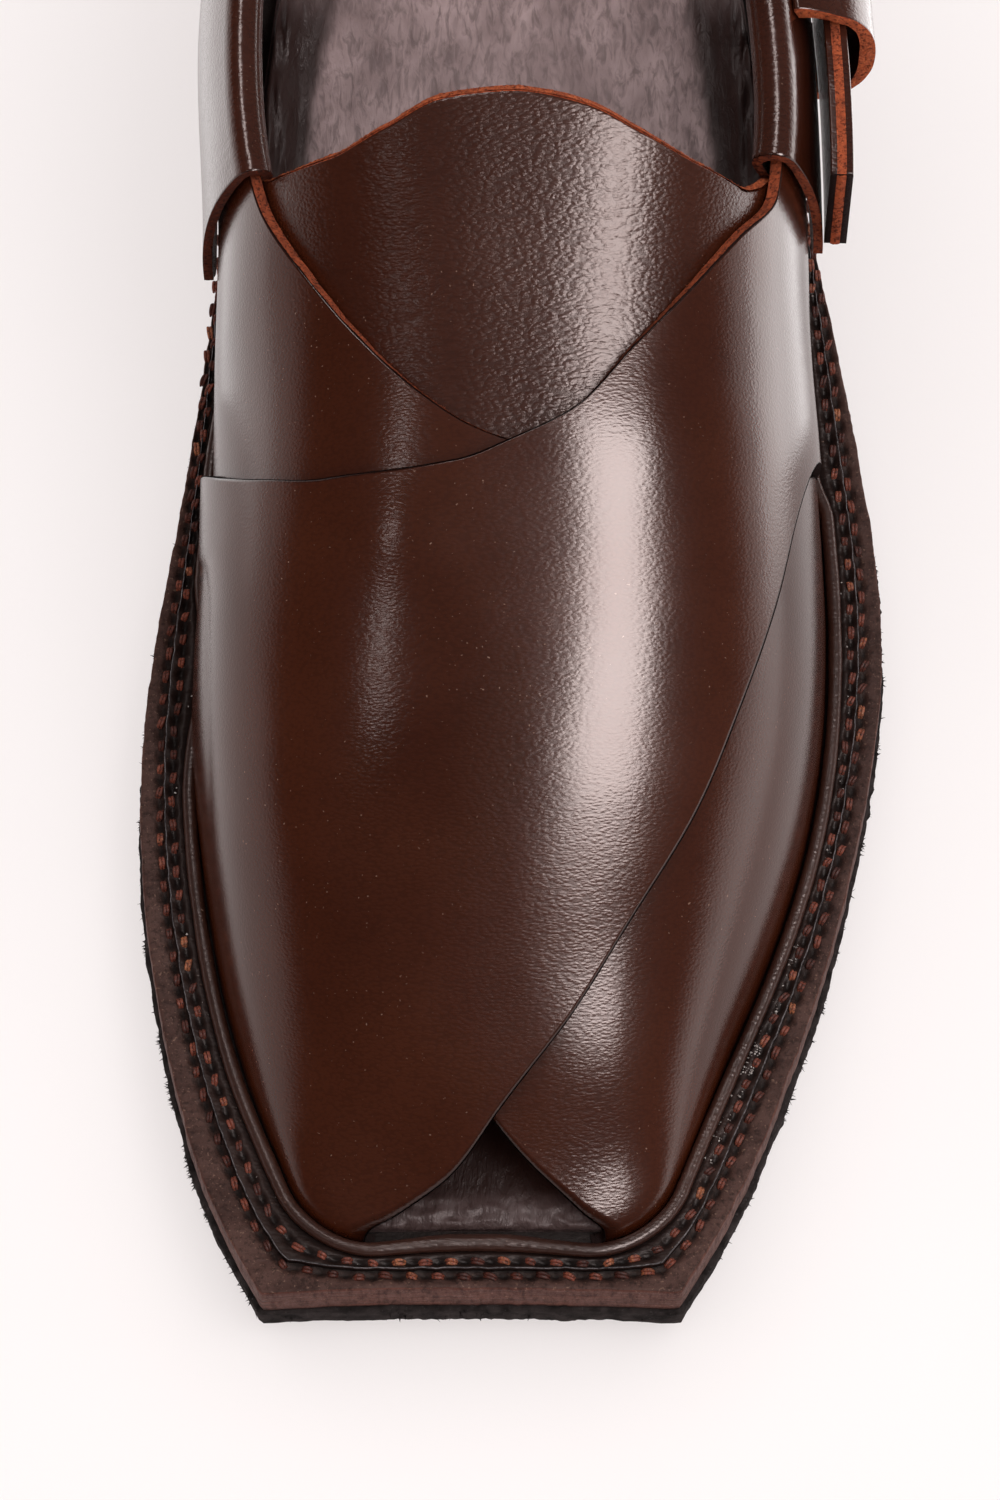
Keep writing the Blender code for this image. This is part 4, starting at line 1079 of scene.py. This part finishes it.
def make_flange(leather, grey_edge):
    """The welt's flat leather: its cut edge, its rim, its top with the inner row's holes, and the
    groove beside the bead."""
    pits = holes(*row_run(INNER_ROW))
    edge_wave = fuzz(4.0, 3.0) * 0.20 + fuzz(5.0, 0.9) * 0.10
    edge, under_bead = FLANGE + edge_wave, BEAD_OUT + BACK - 0.6
    rim, inner_wall = edge - 0.13, BEAD_OUT + BACK + BEAD_RADIUS * 0.75
    profile = [
        (under_bead, 0.02, 0.0, 1),
        (edge, 0.02, 1.0, 1),
        (edge + 0.04, WELT * 0.5, 0.8, 1),
        (edge, WELT * 0.90, 0.0, 2),
        (rim, WELT + 0.03 + fuzz(6.0, 0.7) * 0.05, ease(fuzz(8.0, 6.0) * 2.0 + 0.2) * 0.6, 0),
    ]
    for share in np.linspace(0.06, 1.0, 15):
        out = rim - (rim - inner_wall) * share
        near_row = np.exp(-(((out - INNER_ROW) / 0.75) ** 2))
        groove = ease((share - 0.6) / 0.4)
        up = WELT - near_row * (0.30 + 0.65 * pits) - 0.5 * groove + fuzz(11.0 + share, 1.1) * 0.06
        # painted shade along the inner row of stitches, deeper in its holes, and in the groove beside the
        # bead
        stain = np.clip(near_row * (0.35 + 0.65 * pits) + 0.8 * groove, 0, 1)
        profile.append((out, up, stain, 0))
    outs, ups, stains, paint = zip(*profile)
    rings = [swept(out, up) for out, up in zip(outs, ups)]
    flange = loft("welt_flange", rings, [leather, leather, grey_edge], paint[:-1], stains=stains)
    stands_for(flange, "brown_leather", "welt")


def make_midsole(leather, margin):
    """The leather sole: its stitched margin outside the welt, and its stained edge."""
    pits = holes(*row_run(OUTER_ROW), 0.0)
    wear = fuzz(20.0, 6.0) * 0.22 + fuzz(21.0, 1.3) * 0.10
    edge = REACH + wear - 0.05
    under_welt, rim = FLANGE - 0.8, edge - 0.35
    profile = [(2.0, -0.3, 1.0)]
    for share in np.linspace(0.0, 1.0, 17):
        out = under_welt + (rim - under_welt) * share
        near_row = np.exp(-(((out - OUTER_ROW) / 0.8) ** 2))
        up = -GAP - near_row * (0.25 + 0.6 * pits) + fuzz(31.0 + share, 0.9) * 0.06
        # painted shade along the outer row of stitches, deeper in its holes, and beside the welt's edge
        shade = near_row * (0.45 + 0.55 * pits) + 0.7 * ease((FLANGE + 0.3 - out) / 0.4)
        profile.append((out, up, np.clip(shade, 0, 1)))
    profile.append((edge - 0.10, -GAP - 0.10, 0.0))
    on_margin = len(profile) - 1
    for share in np.linspace(0.04, 1.0, 13):
        worn_corner = ease((share - 0.85) / 0.15)
        bulge = 0.12 * math.sin(math.pi * share) - 0.10 * worn_corner
        scar = fuzz(50.0 + share * 2, 2.2) * 0.10
        profile.append((edge + bulge + scar, -GAP - MIDSOLE * share, 0.5 * worn_corner))
    profile.append((edge - 3.0, -GAP - MIDSOLE, 0.6))
    rings = [swept(out, up) for out, up, _ in profile]
    paint = [0] * on_margin + [1] * (len(rings) - 1 - on_margin)
    stains = [stain for _, _, stain in profile]
    piece = loft("midsole_edge", rings, [margin, leather], paint, end_caps(rings), stains)
    stands_for(piece, "sole_leather", "midsole")


def end_caps(rings):
    return (0, False), (len(rings) - 1, True)


def make_outsole(rubber, rng):
    """The rubber's ragged cut edge, and the loose threads on it."""
    wear = fuzz(60.0, 5.0) * 0.28 + fuzz(61.0, 1.0) * 0.22
    edge = REACH + OUTSOLE_PROUD + wear
    top = -GAP - MIDSOLE - GAP
    rings = [swept(REACH - 2.5, top), swept(edge - 0.5, top + 0.02)]
    ragged = ease(fuzz(65.0, 14.0) * 2.0)
    for share in np.linspace(0.05, 1.0, 10):
        teeth = np.maximum(fuzz(70.0 + share * 3, 1.0), 0) * 0.9 * ragged
        rings.append(swept(edge + teeth - 0.25 * share**4, top - OUTSOLE * share))
    for inward in (0.8, 3.0, 8.0):
        rings.append(swept(REACH - inward, top - OUTSOLE))
    piece = loft("outsole_edge", rings, [rubber], [0] * (len(rings) - 1), end_caps(rings))
    stands_for(piece, "sole_rubber", "outsole")
    make_fibres(edge, top, rubber, rng)


THREADS = 900
CRUMBS = 520
# A crumb's six corners and eight faces
CORNERS = np.array([(1, 0, 0), (-1, 0, 0), (0, 1, 0), (0, -1, 0), (0, 0, 1), (0, 0, -1)], float)
EIGHT_FACES = ((0, 2, 4), (2, 1, 4), (1, 3, 4), (3, 0, 4), (2, 0, 5), (1, 2, 5), (3, 1, 5), (0, 3, 5))


def make_fibres(edge, top, rubber, rng):
    """Loose threads of rubber and cloth along the outsole's cut edge, in tufts."""
    tufts = np.clip(fuzz(80.0, 4.0) * 2.2, 0.03, 1.0) ** 1.5
    tufts[LOOP[:, 1] > HEEL_CENTRE] *= 0.3
    where = rng.choice(RINGS, THREADS, p=tufts / tufts.sum())
    up = top - OUTSOLE * rng.uniform(0.02, 0.9, THREADS)
    base = swept(edge - 0.15, 0.0)[where] + np.column_stack([np.zeros((THREADS, 2)), up])
    side = unit(np.column_stack([AHEAD[where], np.zeros(THREADS)]))
    off = np.column_stack([OUTWARD[where], np.zeros(THREADS)])
    lean = off + side * rng.normal(0, 0.8, (THREADS, 1)) + rng.normal(0, 0.25, (THREADS, 3))
    tip = base + unit(lean) * rng.uniform(0.3, 1.0, (THREADS, 1))
    wide = side * rng.uniform(0.07, 0.2, (THREADS, 1))
    drop = np.array([0.0, 0.0, -0.12])
    points = np.stack([base - wide, base + wide, base + drop, tip], axis=1).reshape(-1, 3)
    fibres = new_piece("outsole_fibres", points, spikes(0, THREADS), [rubber])
    stands_for(fibres, "sole_rubber", "outsole")


def make_glue(paint, rng):
    """Crumbs of dried glue in the groove beside the bead, at the toe's corner and down one side."""
    x, station = LOOP.T
    odds = 0.02 + 1.0 * (x < -20) * ease((26 - station) / 10)
    odds = odds + 1.1 * (x > 0) * ease((station - 20) / 8) * ease((62 - station) / 12)
    odds = odds * np.clip(fuzz(90.0, 3.0) + 0.25, 0.02, 1.0)
    where = rng.choice(RINGS, CRUMBS, p=odds / odds.sum())
    out = (BEAD_OUT + BACK + BEAD_RADIUS)[where] + rng.uniform(0.1, 1.5, CRUMBS)
    centre = swept(0.0, WELT)[where]
    centre[:, :2] += OUTWARD[where] * out[:, None]
    centre[:, 2] -= rng.uniform(0.1, 0.5, CRUMBS)
    sizes = rng.uniform(0.10, 0.34, (CRUMBS, 1, 1)) ** 1.2
    shape = CORNERS * sizes * rng.uniform(0.5, 1.3, (CRUMBS, 6, 1))
    shape = shape + rng.normal(0, 0.04, shape.shape)
    points = (centre[:, None] + shape).reshape(-1, 3)
    faces = [(a + k, b + k, c + k) for k in range(0, 6 * CRUMBS, 6) for a, b, c in EIGHT_FACES]
    tones = np.repeat(rng.uniform(0, 1, CRUMBS), 6)
    stands_for(new_piece("glue_crumbs", points, faces, [paint], tones), "brown_leather", "welt")


# A stitch, in millimetres: radius of a ply and how far it lies beside the middle, how high the
# stitch stands and how far its ends dip; and the points round a ply and along it
PLY_RADIUS = 0.29
PLY_ASIDE = 0.26
STITCH_RISE = 0.28
STITCH_DIP = 0.75
PLY_SIDES = 7
PLY_RINGS = 9


def make_stitches(name, out, base, offset, paint, rng):
    """A row of two-ply stitches that dip into their holes."""
    run, count = row_run(out)
    path = np.vstack([swept(out, base), swept(out, base)[:1]])
    centres = (np.arange(count) + offset) / count * run[-1] % run[-1]
    t = np.linspace(-1, 1, PLY_RINGS)
    angles = np.linspace(0, 2 * math.pi, PLY_SIDES, endpoint=False)[:, None]
    points, faces, tones = [], [], []
    for middle in centres:
        tone = rng.uniform(0.0, 1.0)
        half = rng.uniform(0.85, 1.15)
        aside = rng.normal(0, 0.10)
        twist = rng.normal(0.12, 0.14)
        sunk = rng.uniform(0.0, 0.18)
        for strand in (-1, 1):
            where = (middle + t * half) % run[-1]
            spine = np.column_stack([np.interp(where, run, path[:, c]) for c in range(3)])
            ahead = unit(spine[-1] - spine[0])
            across = unit(np.cross(ahead, (0, 0, 1)))
            beside = aside + strand * PLY_ASIDE * (1 - 0.25 * t**2) + twist * t
            spine = spine + across * beside[:, None]
            spine[:, 2] += STITCH_RISE - sunk - STITCH_DIP * np.abs(t) ** 3 + strand * 0.06
            thick = PLY_RADIUS * (1 - 0.4 * np.abs(t) ** 4)
            ring = np.cos(angles) * across + np.sin(angles) * np.array([0, 0, 1.0])
            first = len(points) * PLY_SIDES
            for centre, radius in zip(spine, thick):
                points.append(centre + radius * ring)
                tones += [float(np.clip(tone + rng.normal(0, 0.05), 0, 1))] * PLY_SIDES
            for row in range(first, first + (PLY_RINGS - 1) * PLY_SIDES, PLY_SIDES):
                for j in range(PLY_SIDES):
                    a, b = row + j, row + (j + 1) % PLY_SIDES
                    faces.append((a, b, b + PLY_SIDES, a + PLY_SIDES))
    piece = new_piece(name, np.concatenate(points), faces, [paint], tones)
    return stands_for(piece, "brown_leather", "welt")


INSOLE_FRONT = 10.2
INSOLE_ROWS, INSOLE_STEPS = 320, 104


def laid_across(left, right, station, steps, inset=0.0):
    """x and station of a plate's points, which lie closer together towards its sides, and their
    places from -1 to 1 across it."""
    across = np.sin(np.linspace(-math.pi / 2, math.pi / 2, steps))
    middle, half = (left + right) / 2, np.maximum((right - left) / 2 - inset, 0.2)
    x = middle[:, None] + half[:, None] * across[None, :]
    return x, np.broadcast_to(station[:, None], x.shape), across[None, :]


def insole_grid(height, inset):
    """A plate over the last's feather outline, closer together towards its rounded ends."""
    last = HEEL_CENTRE + LAST_HEEL_REACH - 0.5
    turn = np.linspace(0, math.pi, INSOLE_ROWS)
    station = INSOLE_FRONT + (last - INSOLE_FRONT) * (1 - np.cos(turn)) / 2
    x, y, across = laid_across(*last_sides(station), station, INSOLE_STEPS, inset)
    rim = 1 - np.abs(across) ** 14
    ends = 1 - np.abs(1 - 2 * (y - INSOLE_FRONT) / (last - INSOLE_FRONT)) ** 60
    z = feather_height(y) + height * np.minimum(rim, ends) ** 0.5
    return np.stack([x, y, z], axis=-1)


def ripple(grid, wide, long, seed):
    """Noise at a grid's points, whose features are so wide and so long in millimetres."""
    flat = [noise.noise(Vector((x / wide, y / long, seed))) for x, y, _ in grid.reshape(-1, 3)]
    return np.array(flat).reshape(grid.shape[:2])


def make_insole(lining):
    """The soft insole: waves all over, a rumpled front edge, sides that roll up in pleats behind the ball,
    and painted shade under the toes and beside the rolled sides."""
    top, low = insole_grid(INSOLE, 1.2), insole_grid(0.02, 1.0)
    station = top[..., 1]
    waves = ripple(top, 7.0, 16.0, 2.0) * 0.24 + ripple(top, 2.6, 6.0, 5.0) * 0.11
    near_toe = (1 - ease((station - INSOLE_FRONT) / 7.0)) * (station > INSOLE_FRONT + 0.05)
    left, right = top[:, :1, 0], top[:, -1:, 0]
    beside = (right - left) / 2 - np.abs(top[..., 0] - (left + right) / 2)
    ragged = beside - waves * 5.0
    behind = ease((station - 105.0) / 30.0) * ease((232.0 - station) / 20.0)
    roll = ease((7.5 - ragged) / 6.0) * ease(beside / 0.8) * behind
    top[..., 2] += waves - 0.25
    top[..., 2] += near_toe * (0.6 + 0.8 * ripple(top, 2.4, 1.6, 8.0))
    top[..., 2] += roll * (3.4 + 1.5 * ripple(top, 1.0, 7.0, 4.0))
    # painted shade: dark under the bands from the toe back to the ball, and beside the sides that roll up
    toe_shade = (1 - ease((station - 40) / 60)) * (0.86 + 0.14 * ease((station - INSOLE_FRONT - 3) / 4))
    side_shade = 0.95 * ease((10.4 - ragged) / 2.5) * behind
    stains = np.maximum(toe_shade, side_shade)
    piece = sheet("insole_cover", top, low, [lining, lining, lining], stains=stains)
    stands_for(piece, "insole_leather", "insole")


def make_heel(rubber, rows=80, steps=60):
    """The heel block, from the ground up to the outsole."""
    turn = np.linspace(0, math.pi / 2, rows)
    station = HEEL_BREAST + (LENGTH - 0.02 - HEEL_BREAST) * np.sin(turn)
    left, right = sole_sides(station)
    x, y, _ = laid_across(left - OUTSOLE_PROUD, right + OUTSOLE_PROUD, station, steps)
    top = np.stack([x, y, ground_rise(y) - GAP], axis=-1)
    low = np.stack([x, y, np.zeros_like(x)], axis=-1)
    piece = sheet("heel_block", top, low, [rubber, rubber, rubber])
    piece.data.set_sharp_from_angle(angle=math.radians(40))
    stands_for(piece, "sole_rubber", "heel")


# The strap round the heel

LEAF = 4.3
LEAF_THICK = 1.5
SLOT_END = 218.0
FOLD_ROUND = 2.4
SEAMS = (112.0, 140.0)
# turn, heights of the low edge and of the fold's top, lifts of the inner and of the outer face off
# the last's wall, and how round the fold is
HEEL_STRAP = np.array((
    (0.00, 29.0, 69.5, -1.70, 4.30, 1.00),
    (0.30, 31.0, 70.0, -1.70, 4.30, 1.00),
    (0.65, 34.0, 71.5, -1.70, 4.30, 1.00),
    (1.00, 38.0, 75.0, -1.70, 4.00, 1.00),
    (1.50, 42.0, 81.0, -1.70, 3.60, 1.00),
    (2.00, 38.5, 76.0, -0.10, 5.20, 1.00),
    (2.13, 39.0, 70.5, 2.80, 7.60, 0.80),
    (2.26, 40.5, 65.5, 5.00, 9.20, 0.40),
    (2.33, 42.6, 65.2, 6.30, 10.10, 0.20),
    (2.41, 43.2, 65.0, 9.10, 12.80, 0.20),
    (2.468, 43.2, 65.0, 9.90, 13.60, 0.20),
    (2.51, 43.6, 64.0, 8.10, 11.70, 0.20),
    (2.56, 44.0, 62.9, 5.60, 9.20, 0.20),
    (2.70, 44.0, 62.9, 5.70, 9.30, 0.20),
    (2.80, 43.4, 64.2, 5.70, 9.30, 0.20),
    (2.981, 42.8, 65.6, 5.90, 9.50, 0.20),
))
SIDE_COLLAR = np.array((
    (2.36, 35.0, 71.0, -2.70, LEAF, 1.00),
    (2.70, 33.0, 70.0, -2.70, LEAF, 1.00),
    (2.972, 33.0, 69.5, -2.70, LEAF, 1.00),
))


def strap_profile(low, top, inner, outer, fold, flat=14, bend=37):
    """Points (lift, z) round a strap: up its outer side, over its fold and down its inner side."""
    radius = max((outer - inner) / 2 * fold, 0.01)
    shoulder = top - radius
    power = 2 / FOLD_ROUND
    rise = np.linspace(0, 1, flat)
    points = [(outer, low + (shoulder - low) * share) for share in rise]
    for angle in np.linspace(0, 180, bend)[1:-1]:
        centre = outer - radius if angle < 90 else inner + radius
        if abs(angle - 90) < 0.01:
            centre = (outer + inner) / 2
        across, up = math.cos(math.radians(angle)), math.sin(math.radians(angle))
        seams = sum(math.exp(-(((angle - seam) / 3.5) ** 2)) for seam in SEAMS)
        dent = 1 - 0.07 * seams * (fold > 0.9)
        reach = radius * dent * math.copysign(abs(across) ** power, across)
        points.append((centre + reach, shoulder + radius * dent * up**power))
    points += [(inner, low + (shoulder - low) * share) for share in rise[::-1]]
    return points


def strap_grids(table, turns, off, leaf, front):
    """Outer and inner grids of a folded strap; leaf gives its leather's thickness at a turn. The
    lower corner is cut away over the last few millimetres before the front."""
    curves = [steady(table[:, 0], table[:, k]) for k in range(1, 6)]
    outside, inside = [], []
    for turn in turns:
        low, top, inner, outer, fold = (float(curve(turn)) for curve in curves)
        low += 4.0 * (1 - ease(abs(turn - front) / 0.05)) ** 2
        thick = min(leaf(turn), (outer - inner) / 2 - 0.03)
        outside.append([off(turn, z, lift) for lift, z in strap_profile(low, top, inner, outer, fold)])
        core = strap_profile(low, top - thick, inner + thick, outer - thick, 1.0 if fold > 0.9 else fold)
        inside.append([off(turn, z, lift) for lift, z in core])
    return np.array(outside), np.array(inside)


def strap_leaf(turn):
    """Leather's thickness: two leaves with the wing between them as far as the wing's end, and
    pressed together behind it."""
    closing = ease((turn - leg_turn(SLOT_END)) / 0.08)
    return LEAF_THICK + 1.6 * closing


def collar_leaf(turn):
    """The same for the collar, on the lateral side."""
    closing = ease((lateral_turn(SLOT_END) - turn) / 0.08)
    return LEAF_THICK + 1.6 * closing


def strap_edge(name, node, outer, inner, away, raw, rng, **how):
    """A raw edge of the strap, the collar or the keeper."""
    stands_for(cut_edge(name, outer, inner, away, raw, rng, **how), "strap_leather", node)


def make_straps(leather, lining, raw, rng):
    """The strap round the heel with the raw core of its tail, and the collar over the wing."""
    medial = np.linspace(0, 1, 110) ** 1.15
    heel = np.linspace(1, 2, 100)[1:]
    lateral = np.linspace(2, HEEL_STRAP[-1, 0], 120)[1:]
    turns = np.concatenate([medial, heel, lateral])
    outer, inner = strap_grids(HEEL_STRAP, turns, off_flank, strap_leaf, 0.0)
    stains = np.zeros(outer.shape[:2])
    stains[0], stains[-1] = 0.7, 1.0
    strap = sheet("heel_strap_leather", outer, inner, [leather, lining, raw], stains=stains)
    stands_for(strap, "strap_leather", "heel_strap")
    away = outer[0] - outer[1]
    strap_edge("strap_front", "heel_strap", outer[0], inner[0], away, raw, rng, stain=0.80)
    tail_core(outer[-95:], raw, rng)
    turns = np.linspace(SIDE_COLLAR[0, 0], SIDE_COLLAR[-1, 0], 100)
    outer, inner = strap_grids(SIDE_COLLAR, turns, off_wall, collar_leaf, SIDE_COLLAR[-1, 0])
    stains = np.zeros(outer.shape[:2])
    stains[-1] = 0.7
    collar = sheet("side_collar_leather", outer, inner, [leather, lining, raw], stains=stains)
    stands_for(collar, "strap_leather", "side_collar")
    away = outer[-1] - outer[-2]
    strap_edge("collar_front", "side_collar", outer[-1], inner[-1], away, raw, rng, stain=0.45)


# Where the core's edges lie between the tail's two faces
CORE = (0.30, 0.72)


def tail_core(rows, raw, rng):
    """The raw core between the tail's two faces, along its top edge and down its end."""
    middle = rows.shape[1] // 2
    outer, inner = rows[:, middle - 12], rows[:, middle + 12]
    near, far = (outer + (inner - outer) * share for share in CORE)
    top = np.maximum(rows[:, middle, 2], near[:, 2]) + 0.06
    near[:, 2], far[:, 2] = top, top
    away = np.tile([0.0, 0.0, 1.0], (len(rows), 1))
    look = {"rough": 0.05, "reach": 0.4, "fibres": 14.0}
    strap_edge("tail_core", "heel_strap", near, far, away, raw, rng, bulge=0.12, **look)
    outer, inner = rows[-1, : middle - 2], rows[-1, : middle + 2 : -1]
    near, far = (outer + (inner - outer) * share for share in CORE)
    away = outer - rows[-2, : middle - 2]
    strap_edge("tail_end_core", "heel_strap", near, far, away, raw, rng, bulge=0.25, **look)


# The keeper: stations of its ends and height of its middle; reach, half height and roundness of its
# inside and of its outside; the distance over which it comes to stand upright, and its first lift
KEEPER_STATIONS = (192.5, 205.0)
KEEPER_CENTRE = 53.4
KEEPER_INNER = (7.2, 11.1, 3.0)
KEEPER_OUTER = (9.8, 13.2, 2.2)
KEEPER_ROOT = 4.0
KEEPER_START = LEAF + GAP


def half_round(reach, half, roundness):
    """Points (x, z) of a half ellipse that bulges towards +x; more than 2 makes it squarer."""
    power = 2 / roundness
    points = []
    for angle in np.radians(np.linspace(-90, 90, 61)):
        up = half * abs(math.sin(angle)) ** power
        points.append((reach * abs(math.cos(angle)) ** power, math.copysign(up, angle)))
    return points


def make_keeper(leather, raw, rng):
    """The loop over the strap's free end, with its two cut edges."""
    grids = []
    for profile in (half_round(*KEEPER_OUTER), half_round(*KEEPER_INNER)):
        rows = []
        for station in np.linspace(*KEEPER_STATIONS, 24):
            turn = lateral_turn(station)
            row = []
            for x, z in profile:
                place = turn, KEEPER_CENTRE + z, KEEPER_START + x
                upright = ease(x / KEEPER_ROOT)
                row.append(off_wall(*place) * (1 - upright) + off_flank(*place) * upright)
            rows.append(row)
        grids.append(np.array(rows))
    out, within = grids
    loop = sheet("keeper_leather", rounded_ends(out), within, [leather, leather, raw])
    stands_for(loop, "strap_leather", "keeper_loop")
    for name, row, near in (("keeper_front_edge", 0, 1), ("keeper_rear_edge", -1, -2)):
        look = {"away": out[row] - out[near], "rough": 0.08, "reach": 0.4, "stain": 0.1}
        strap_edge(name, "keeper_loop", out[row], within[row], raw=raw, rng=rng, **look)


def rounded_ends(grid):
    """The grid with its first and last rows drawn in a little."""
    return rounded(grid.transpose(1, 0, 2), 0.2).transpose(1, 0, 2)


# The studio

FLOOR = 4.0


def make_floor():
    """A large sheet of pale paper."""
    mesh = bpy.data.meshes.new("floor")
    corners = [(FLOOR * x, FLOOR * y, 0) for x, y in ((-1, -1), (1, -1), (1, 1), (-1, 1))]
    mesh.from_pydata(corners, [], [(0, 1, 2, 3)])
    mesh.materials.append(pale_floor("floor_paper"))
    floor = bpy.data.objects.new("floor", mesh)
    bpy.context.scene.collection.objects.link(floor)


# Place and size in metres, and watts. Lamps hang over the shoe and face down, and cards lie at the
# floor and face up. The first two light only matt surfaces, and the others only show as reflections.
MATT_LIGHTS = (
    ("fill_above", (0.0, -0.15, 1.7), (6.0, 6.0), 128.0),
    ("key_softbox", (0.49, -0.44, 1.15), (0.55, 0.8), 3.0),
)
GLOSS_LIGHTS = (
    ("softbox_right", (0.47, -0.47, 1.07), (0.47, 0.74), 23.0),
    ("lamp_left", (-0.61, -0.34, 1.07), (0.13, 0.09), 0.50),
    ("lamp_behind", (-0.20, 0.50, 1.07), (0.24, 0.40), 4.0),
    ("card_right", (0.72, 0.075, 0.003), (1.16, 1.05), 5.4),
    ("card_behind", (0.33, 0.13, 0.004), (0.50, 0.46), 2.0),
    ("card_left", (-0.165, -0.02, 0.004), (0.20, 0.16), 0.085),
)
CARD_HEIGHT = 0.01


def area_light(name, place, size, power, glossy):
    light = bpy.data.lights.new(name, "AREA")
    light.shape = "RECTANGLE"
    light.size, light.size_y = size
    light.energy = power
    lamp = bpy.data.objects.new(name, light)
    lamp.location = place
    facing = Vector((0.0, 0.0, 1.0 if place[2] < CARD_HEIGHT else -1.0))
    lamp.rotation_euler = facing.to_track_quat("-Z", "Y").to_euler()
    lamp.visible_glossy = glossy
    lamp.visible_diffuse = not glossy
    lamp.visible_camera = False
    bpy.context.scene.collection.objects.link(lamp)


def make_world():
    """A dark room, paler just above the horizon and towards the right."""
    world = bpy.data.worlds.new("studio")
    bpy.context.scene.world = world
    n = Nodes(world, "Background", "Generated")
    split = n.add("ShaderNodeSeparateXYZ")
    n.put(split, 0, n.place)
    horizon = n.fit(split.outputs["Z"], 0.02, 0.20, 0.85, 0.06)
    side = n.fit(split.outputs["X"], 0.0, 0.7, 1.0, 2.6)
    n.put(n.shader, "Strength", n.times(horizon, side))
    n.put(n.shader, "Color", (1.0, 0.95, 0.94, 1.0))


def make_studio():
    """A dark room with a pale floor: soft lamps above, a softbox over the shoe's outer side, small
    lamps over its inner side and behind it, and bright cards beside it."""
    bpy.context.scene.view_settings.view_transform = "Standard"
    make_camera()
    make_world()
    for light in MATT_LIGHTS:
        area_light(*light, glossy=False)
    for light in GLOSS_LIGHTS:
        area_light(*light, glossy=True)
    make_floor()


LENS, SENSOR = 153.1, 36.0
EYE = (-0.00125, -0.5575, 0.9345)
EYE_TILT = 23.0


def make_camera():
    camera = bpy.data.cameras.new("camera")
    camera.lens, camera.sensor_width = LENS, SENSOR
    eye = bpy.data.objects.new("camera", camera)
    eye.location = EYE
    eye.rotation_euler = (math.radians(EYE_TILT), 0.0, 0.0)
    bpy.context.scene.collection.objects.link(eye)
    bpy.context.scene.camera = eye


# Polished leathers: dark and light tone, grain and relief in millimetres, roughness, sheen
BROWN = (0.034, 0.0064, 0.0020), (0.050, 0.0104, 0.0034), 0.42, 0.016, 0.18, 0.42
GRAINED = (0.032, 0.0060, 0.0018), (0.046, 0.0096, 0.0032), 0.50, 0.048, 0.23, 0.36
STRAP = (0.024, 0.0052, 0.0024), (0.044, 0.010, 0.0045), 0.5, 0.03, 0.19, 0.5
BEAD = (0.024, 0.007, 0.004), (0.046, 0.015, 0.009), 0.6, 0.05, 0.33, 0.45
FLANGE_TOP = (0.011, 0.0052, 0.0042), (0.034, 0.0150, 0.0115), 0.6, 0.07, 0.46, 0.16
# Cut edges: dark tone, light tone and dust
RAW = (0.28, 0.036, 0.012), (0.62, 0.125, 0.040), (0.70, 0.24, 0.09)
WORN = (0.17, 0.022, 0.008), (0.44, 0.078, 0.025), (0.60, 0.18, 0.07)
FLANGE_CUT = (0.070, 0.058, 0.060), (0.20, 0.175, 0.18), (0.32, 0.29, 0.295)
# Linings, sole leathers and rubber: dark and light tone
LINING = (0.008, 0.0045, 0.004), (0.026, 0.015, 0.013)
SOFT_LINING = (0.225, 0.150, 0.147), (0.470, 0.335, 0.330)
SOLE_EDGE = (0.060, 0.018, 0.012), (0.115, 0.040, 0.028)
SOLE_MARGIN = (0.038, 0.014, 0.010), (0.078, 0.036, 0.028)
RUBBER = (0.011, 0.0085, 0.008), (0.040, 0.031, 0.030)


def main():
    rng = np.random.default_rng(11)
    make_studio()
    leather = polished_leather("brown_leather_finish", *BROWN)
    grained = polished_leather("grained_leather_finish", *GRAINED)
    strap = polished_leather("strap_leather_finish", *STRAP)
    bead = polished_leather("bead_finish", *BEAD)
    flange = polished_leather("flange_finish", *FLANGE_TOP)
    raw = raw_leather("raw_edge", *RAW)
    worn = raw_leather("worn_edge", *WORN)
    flange_cut = raw_leather("flange_edge", *FLANGE_CUT)
    lining = wall_lining("lining", *LINING)
    soft = insole_lining("insole_lining", *SOFT_LINING)
    sole_edge = sole_leather("midsole_edge_finish", *SOLE_EDGE)
    margin = sole_leather("midsole_margin_finish", *SOLE_MARGIN)
    rubber = crumb_rubber("rubber_finish", *RUBBER)
    thread = thread_material("thread")
    metal = dull_metal("buckle_finish")
    make_band("under_band", UNDER_BAND, True, leather, lining, worn, rng)
    make_band("top_band", TOP_BAND, False, leather, lining, worn, rng)
    make_flap(grained, lining, raw, rng)
    make_bead(bead)
    make_flange(flange, flange_cut)
    make_midsole(sole_edge, margin)
    make_outsole(rubber, rng)
    make_heel(rubber)
    make_stitches("stitches_inner", INNER_ROW, WELT - 0.15, 0.0, thread, rng)
    make_stitches("stitches_outer", OUTER_ROW, -GAP + 0.05, 0.5, thread, rng)
    make_glue(dried_glue("dried_glue"), rng)
    make_insole(soft)
    make_straps(strap, lining, worn, rng)
    make_keeper(strap, raw, rng)
    for node, paint in (("buckle_frame", metal), ("buckle_prong", metal), ("buckle_chape", strap)):
        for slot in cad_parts[node].material_slots:
            slot.material = paint


main()
